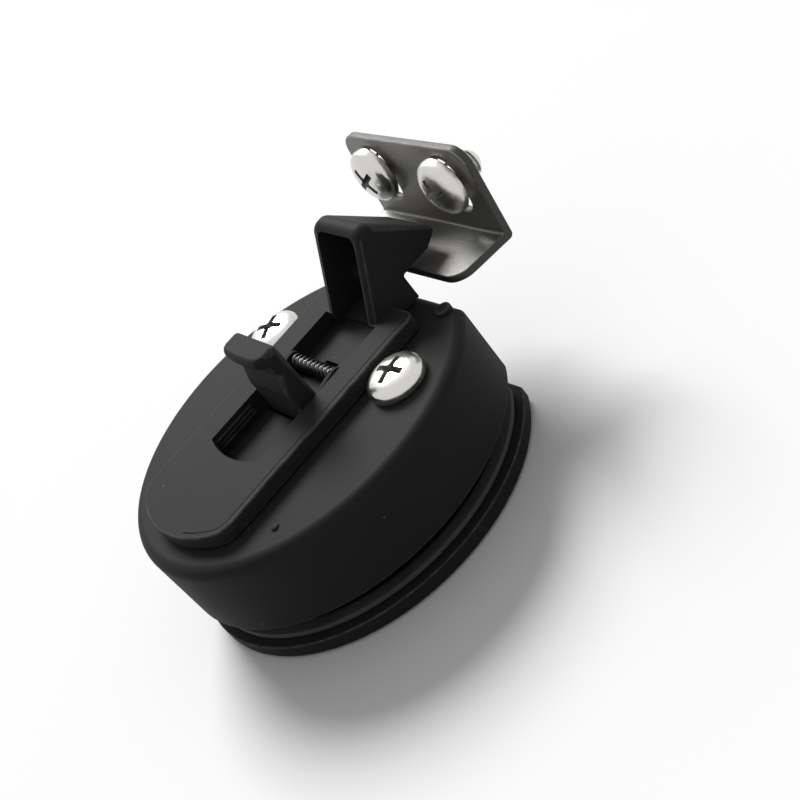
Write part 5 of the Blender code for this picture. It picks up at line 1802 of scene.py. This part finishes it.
@dataclass
class PullPaddle:
    """Flush pull paddle: face with a finger lip, hubs on the pin and two driving arms."""

    shared: Shared
    half_width: float = 9.4
    face_y: Span = (-14.0, 6.8)
    face_z: Span = (-6.3, -4.7)
    corner: float = 2.4
    edge: float = 0.4
    back_edge: float = 0.2
    lip_inset: float = 1.6
    lip_setback: float = 0.02
    lip_depth: float = 1.5
    lip_lap: float = 0.5
    lip_corner: float = 0.6
    lip_edge: float = 0.3
    hub_radius: float = 2.3
    hub_x: Span = (2.0, 8.6)
    bore: float = 1.35
    arm_x: Span = (2.3, 4.3)
    arm_y: Span = (4.35, 6.75)
    arm_top: float = 8.0
    arm_edge: float = 0.5

    def build(self) -> None:
        """Build and dress the paddle."""
        (low, high), near_y, pivot = self.face_z, self.face_y[0], self.shared.paddle_pivot
        face = rounded_rectangle(span(self.half_width), self.face_y, self.corner)
        solid = Solid.prism(face, Axis.Z, low, high)
        solid.soften(lambda co: near(co.z, low), self.edge, 4)
        solid.soften(lambda co: near(co.z, high), self.back_edge, 2)
        lip_y, lip_top = (near_y + self.lip_setback, near_y + self.lip_inset), high + self.lip_depth
        lip = rounded_rectangle(span(self.half_width - self.lip_inset), lip_y, self.lip_corner, 5)
        ridge = Solid.prism(lip, Axis.Z, low + self.lip_lap, lip_top)
        solid.add(ridge.soften(lambda co: near(co.z, lip_top), self.lip_edge, 3))
        for side in SIDES:
            solid.add(Solid.across(self.hub_radius, pivot, sided(side, *self.hub_x)))
            arm = Solid.box(sided(side, *self.arm_x), self.arm_y, (pivot[1], self.arm_top))
            solid.add(arm.soften(lambda co: near(co.z, self.arm_top), self.arm_edge, 4))
        solid.cut(Solid.across(self.bore, pivot, span(self.half_width + OVERLAP)))
        publish(solid, "paddle_face", NYLON, Body.PADDLE, "pull_paddle")


@dataclass
class Gasket:
    """Thin seal between the bezel's flange and the door."""

    shared: Shared
    oval: Oval
    inset: float = 1.2
    width: float = 1.8
    gap: float = 0.3
    thickness: float = 0.8
    edge: float = 0.25

    def build(self) -> None:
        """Build and dress the seal."""
        low = self.shared.bezel_rear + self.gap
        high = low + self.thickness
        solid = self.oval.solid(self.inset, (low, high), self.edge, self.edge)
        solid.cut(self.oval.solid(self.inset + self.width, (low - OVERLAP, high + OVERLAP)))
        publish(solid, "seal_ring", RUBBER, Body.HOUSING, "bezel_gasket")


@dataclass
class Coil:
    """One spring: where it sits, its sizes, its piece and the node it stands for."""

    name: str
    node: str
    body: Body
    centre: Triple
    along: Axis
    length: float
    radius: float
    wire: float
    turns: float
    finish: Finish = STEEL

    def build(self) -> None:
        """Build and dress the spring."""
        sweep, about = (math.pi / 2, "Y") if self.along is Axis.X else (-math.pi / 2, "X")
        place = Matrix.Translation(self.centre) @ Matrix.Rotation(sweep, 4, about)
        solid = Solid.coil(place, self.length, self.radius, self.wire, self.turns)
        publish(solid, self.name, self.finish, self.body, self.node)


@dataclass
class Springs:
    """The lever's coil, the bolt's return spring and the paddle's coil."""

    shared: Shared
    return_at: Triple = (0.0, -22.1, 5.3)

    def build(self) -> None:
        """Build and dress the three springs."""
        lever_at, paddle_at = (0.0, *self.shared.lever_pivot), (0.0, *self.shared.paddle_pivot)
        Coil(
            "lever_coil", "lever_spring", Body.BOLT, lever_at, Axis.X,
            length=9.7, radius=0.83, wire=0.2, turns=9.5, finish=BLACK_WIRE,
        ).build()
        Coil(
            "return_coil", "bolt_spring", Body.HOUSING, self.return_at, Axis.Y,
            length=9.0, radius=1.8, wire=0.3, turns=5.5,
        ).build()
        Coil(
            "paddle_coil", "paddle_spring", Body.HOUSING, paddle_at, Axis.X,
            length=2.8, radius=1.6, wire=0.22, turns=4.5,
        ).build()


@dataclass
class Studio:
    """Pale floor, soft lamps, plain world and the camera at the photograph's angle."""

    floor_half_size: float = 3.0
    floor_colour: Colour = (0.9, 0.9, 0.9)
    floor_drift: float = 9.0
    floor_lightening: float = 1.03
    floor_roughness: float = 0.9
    floor_specular: float = 0.1
    lens: float = 68.11
    sensor_width: float = 36.0
    clip_start: float = 0.001
    camera_at: Triple = (0.165425, -0.043754, 0.118068)
    azimuth: float = math.radians(73.226)
    elevation: float = math.radians(32.834)
    roll: float = math.radians(-39.949)
    bounce_colour: Colour = (0.3, 0.3, 0.3)
    world_strength: float = 0.34
    background_strength: float = 1.0
    sun_strength: float = 3.2
    sun_angle: float = math.radians(26.0)
    sun_from: Triple = (-0.7, 0.28, 0.66)
    lamp_at: Triple = (-0.8, 0.25, 0.6)
    lamp_size: float = 0.7
    lamp_power: float = 1.4

    def build_floor(self) -> None:
        """Floor of pale paper, which throws less light back on the latch than it shows."""
        bm = bmesh.new()
        bmesh.ops.create_grid(bm, x_segments=1, y_segments=1, size=self.floor_half_size)
        mesh = Solid(bm).into_mesh("floor")
        paper = bpy.data.materials.new("floor_paper")
        paper.use_nodes = True
        nodes = Nodes(paper.node_tree)
        shader = paper.node_tree.nodes["Principled BSDF"]
        drift = nodes.noise(nodes.place(), self.floor_drift, detail=3.0)
        light = tuple(min(1.0, part * self.floor_lightening) for part in self.floor_colour)
        tone = nodes.mix(drift, (*self.floor_colour, 1.0), (*light, 1.0))
        shown = nodes.mix(nodes.seen(), (*self.bounce_colour, 1.0), tone)
        nodes.feed(shader.inputs["Base Color"], shown)
        shader.inputs["Roughness"].default_value = self.floor_roughness
        shader.inputs["Specular IOR Level"].default_value = self.floor_specular
        mesh.materials.append(paper)
        floor = linked("floor", mesh)

    def build_lamp(self) -> None:
        """Square soft lamp aimed at the latch."""
        data = bpy.data.lights.new("soft_back", "AREA")
        data.shape = "SQUARE"
        data.size = self.lamp_size
        data.energy = self.lamp_power
        lamp = linked("soft_back", data)
        lamp.location = self.lamp_at
        lamp.rotation_mode = "QUATERNION"
        lamp.rotation_quaternion = Vector(self.lamp_at).to_track_quat("Z", "Y")

    def build_sun(self) -> None:
        """Soft even light from above, at the latch's left."""
        data = bpy.data.lights.new("even_top", "SUN")
        data.energy = self.sun_strength
        data.angle = self.sun_angle
        lamp = linked("even_top", data)
        lamp.rotation_mode = "QUATERNION"
        lamp.rotation_quaternion = Vector(self.sun_from).to_track_quat("Z", "Y")

    def build_world(self) -> None:
        """Plain grey light from all round, which eye, metal and glass see as a white background."""
        world = bpy.data.worlds.new("studio")
        world.use_nodes = True
        background = world.node_tree.nodes["Background"]
        background.inputs["Color"].default_value = (1.0, 1.0, 1.0, 1.0)
        nodes = Nodes(world.node_tree)
        strengths = (self.world_strength, self.background_strength)
        nodes.feed(background.inputs["Strength"], nodes.spread(nodes.seen(), WHOLE, strengths))
        bpy.context.scene.world = world

    def build_camera(self) -> None:
        """Camera fitted to the photograph's view, turned about its own axis as the photograph is."""
        data = bpy.data.cameras.new("photo_view")
        data.lens = self.lens
        data.sensor_width = self.sensor_width
        data.clip_start = self.clip_start
        camera = linked("photo_view", data)
        tilt = Matrix.Rotation(math.pi / 2 - self.elevation, 4, "X")
        rolled = Matrix.Rotation(self.azimuth, 4, "Z") @ tilt @ Matrix.Rotation(self.roll, 4, "Z")
        camera.matrix_world = Matrix.Translation(self.camera_at) @ rolled
        bpy.context.scene.camera = camera

    def build(self) -> None:
        """Build the whole studio."""
        self.build_floor()
        self.build_world()
        self.build_sun()
        self.build_lamp()
        self.build_camera()
        bpy.context.scene.view_settings.view_transform = "Standard"


def main() -> None:
    """Build every sub-assembly, then the studio round them."""
    logging.basicConfig(level=logging.INFO, format="%(message)s")
    shared, oval, screw = Shared(), Oval.from_frame(trimmed=4.3), PanScrew()
    assemblies = [
        RearHousing(shared, oval), SlideBolt(shared), ThumbLever(shared), BodyScrews(shared, screw),
        Strike(screw), FrontBezel(shared, oval), PullPaddle(shared), Gasket(shared, oval), Springs(shared),
    ]
    for assembly in assemblies:
        assembly.build()
    for node in ("lever_pin", "paddle_pin", "keeper_screw_left", "keeper_screw_right"):
        repaint(node, STEEL)
    for node in ("insert_left", "insert_right"):
        repaint(node, BRASS)
    repaint("bolt_keeper", ACETAL)
    Studio().build()


if __name__ == "__main__":
    main()
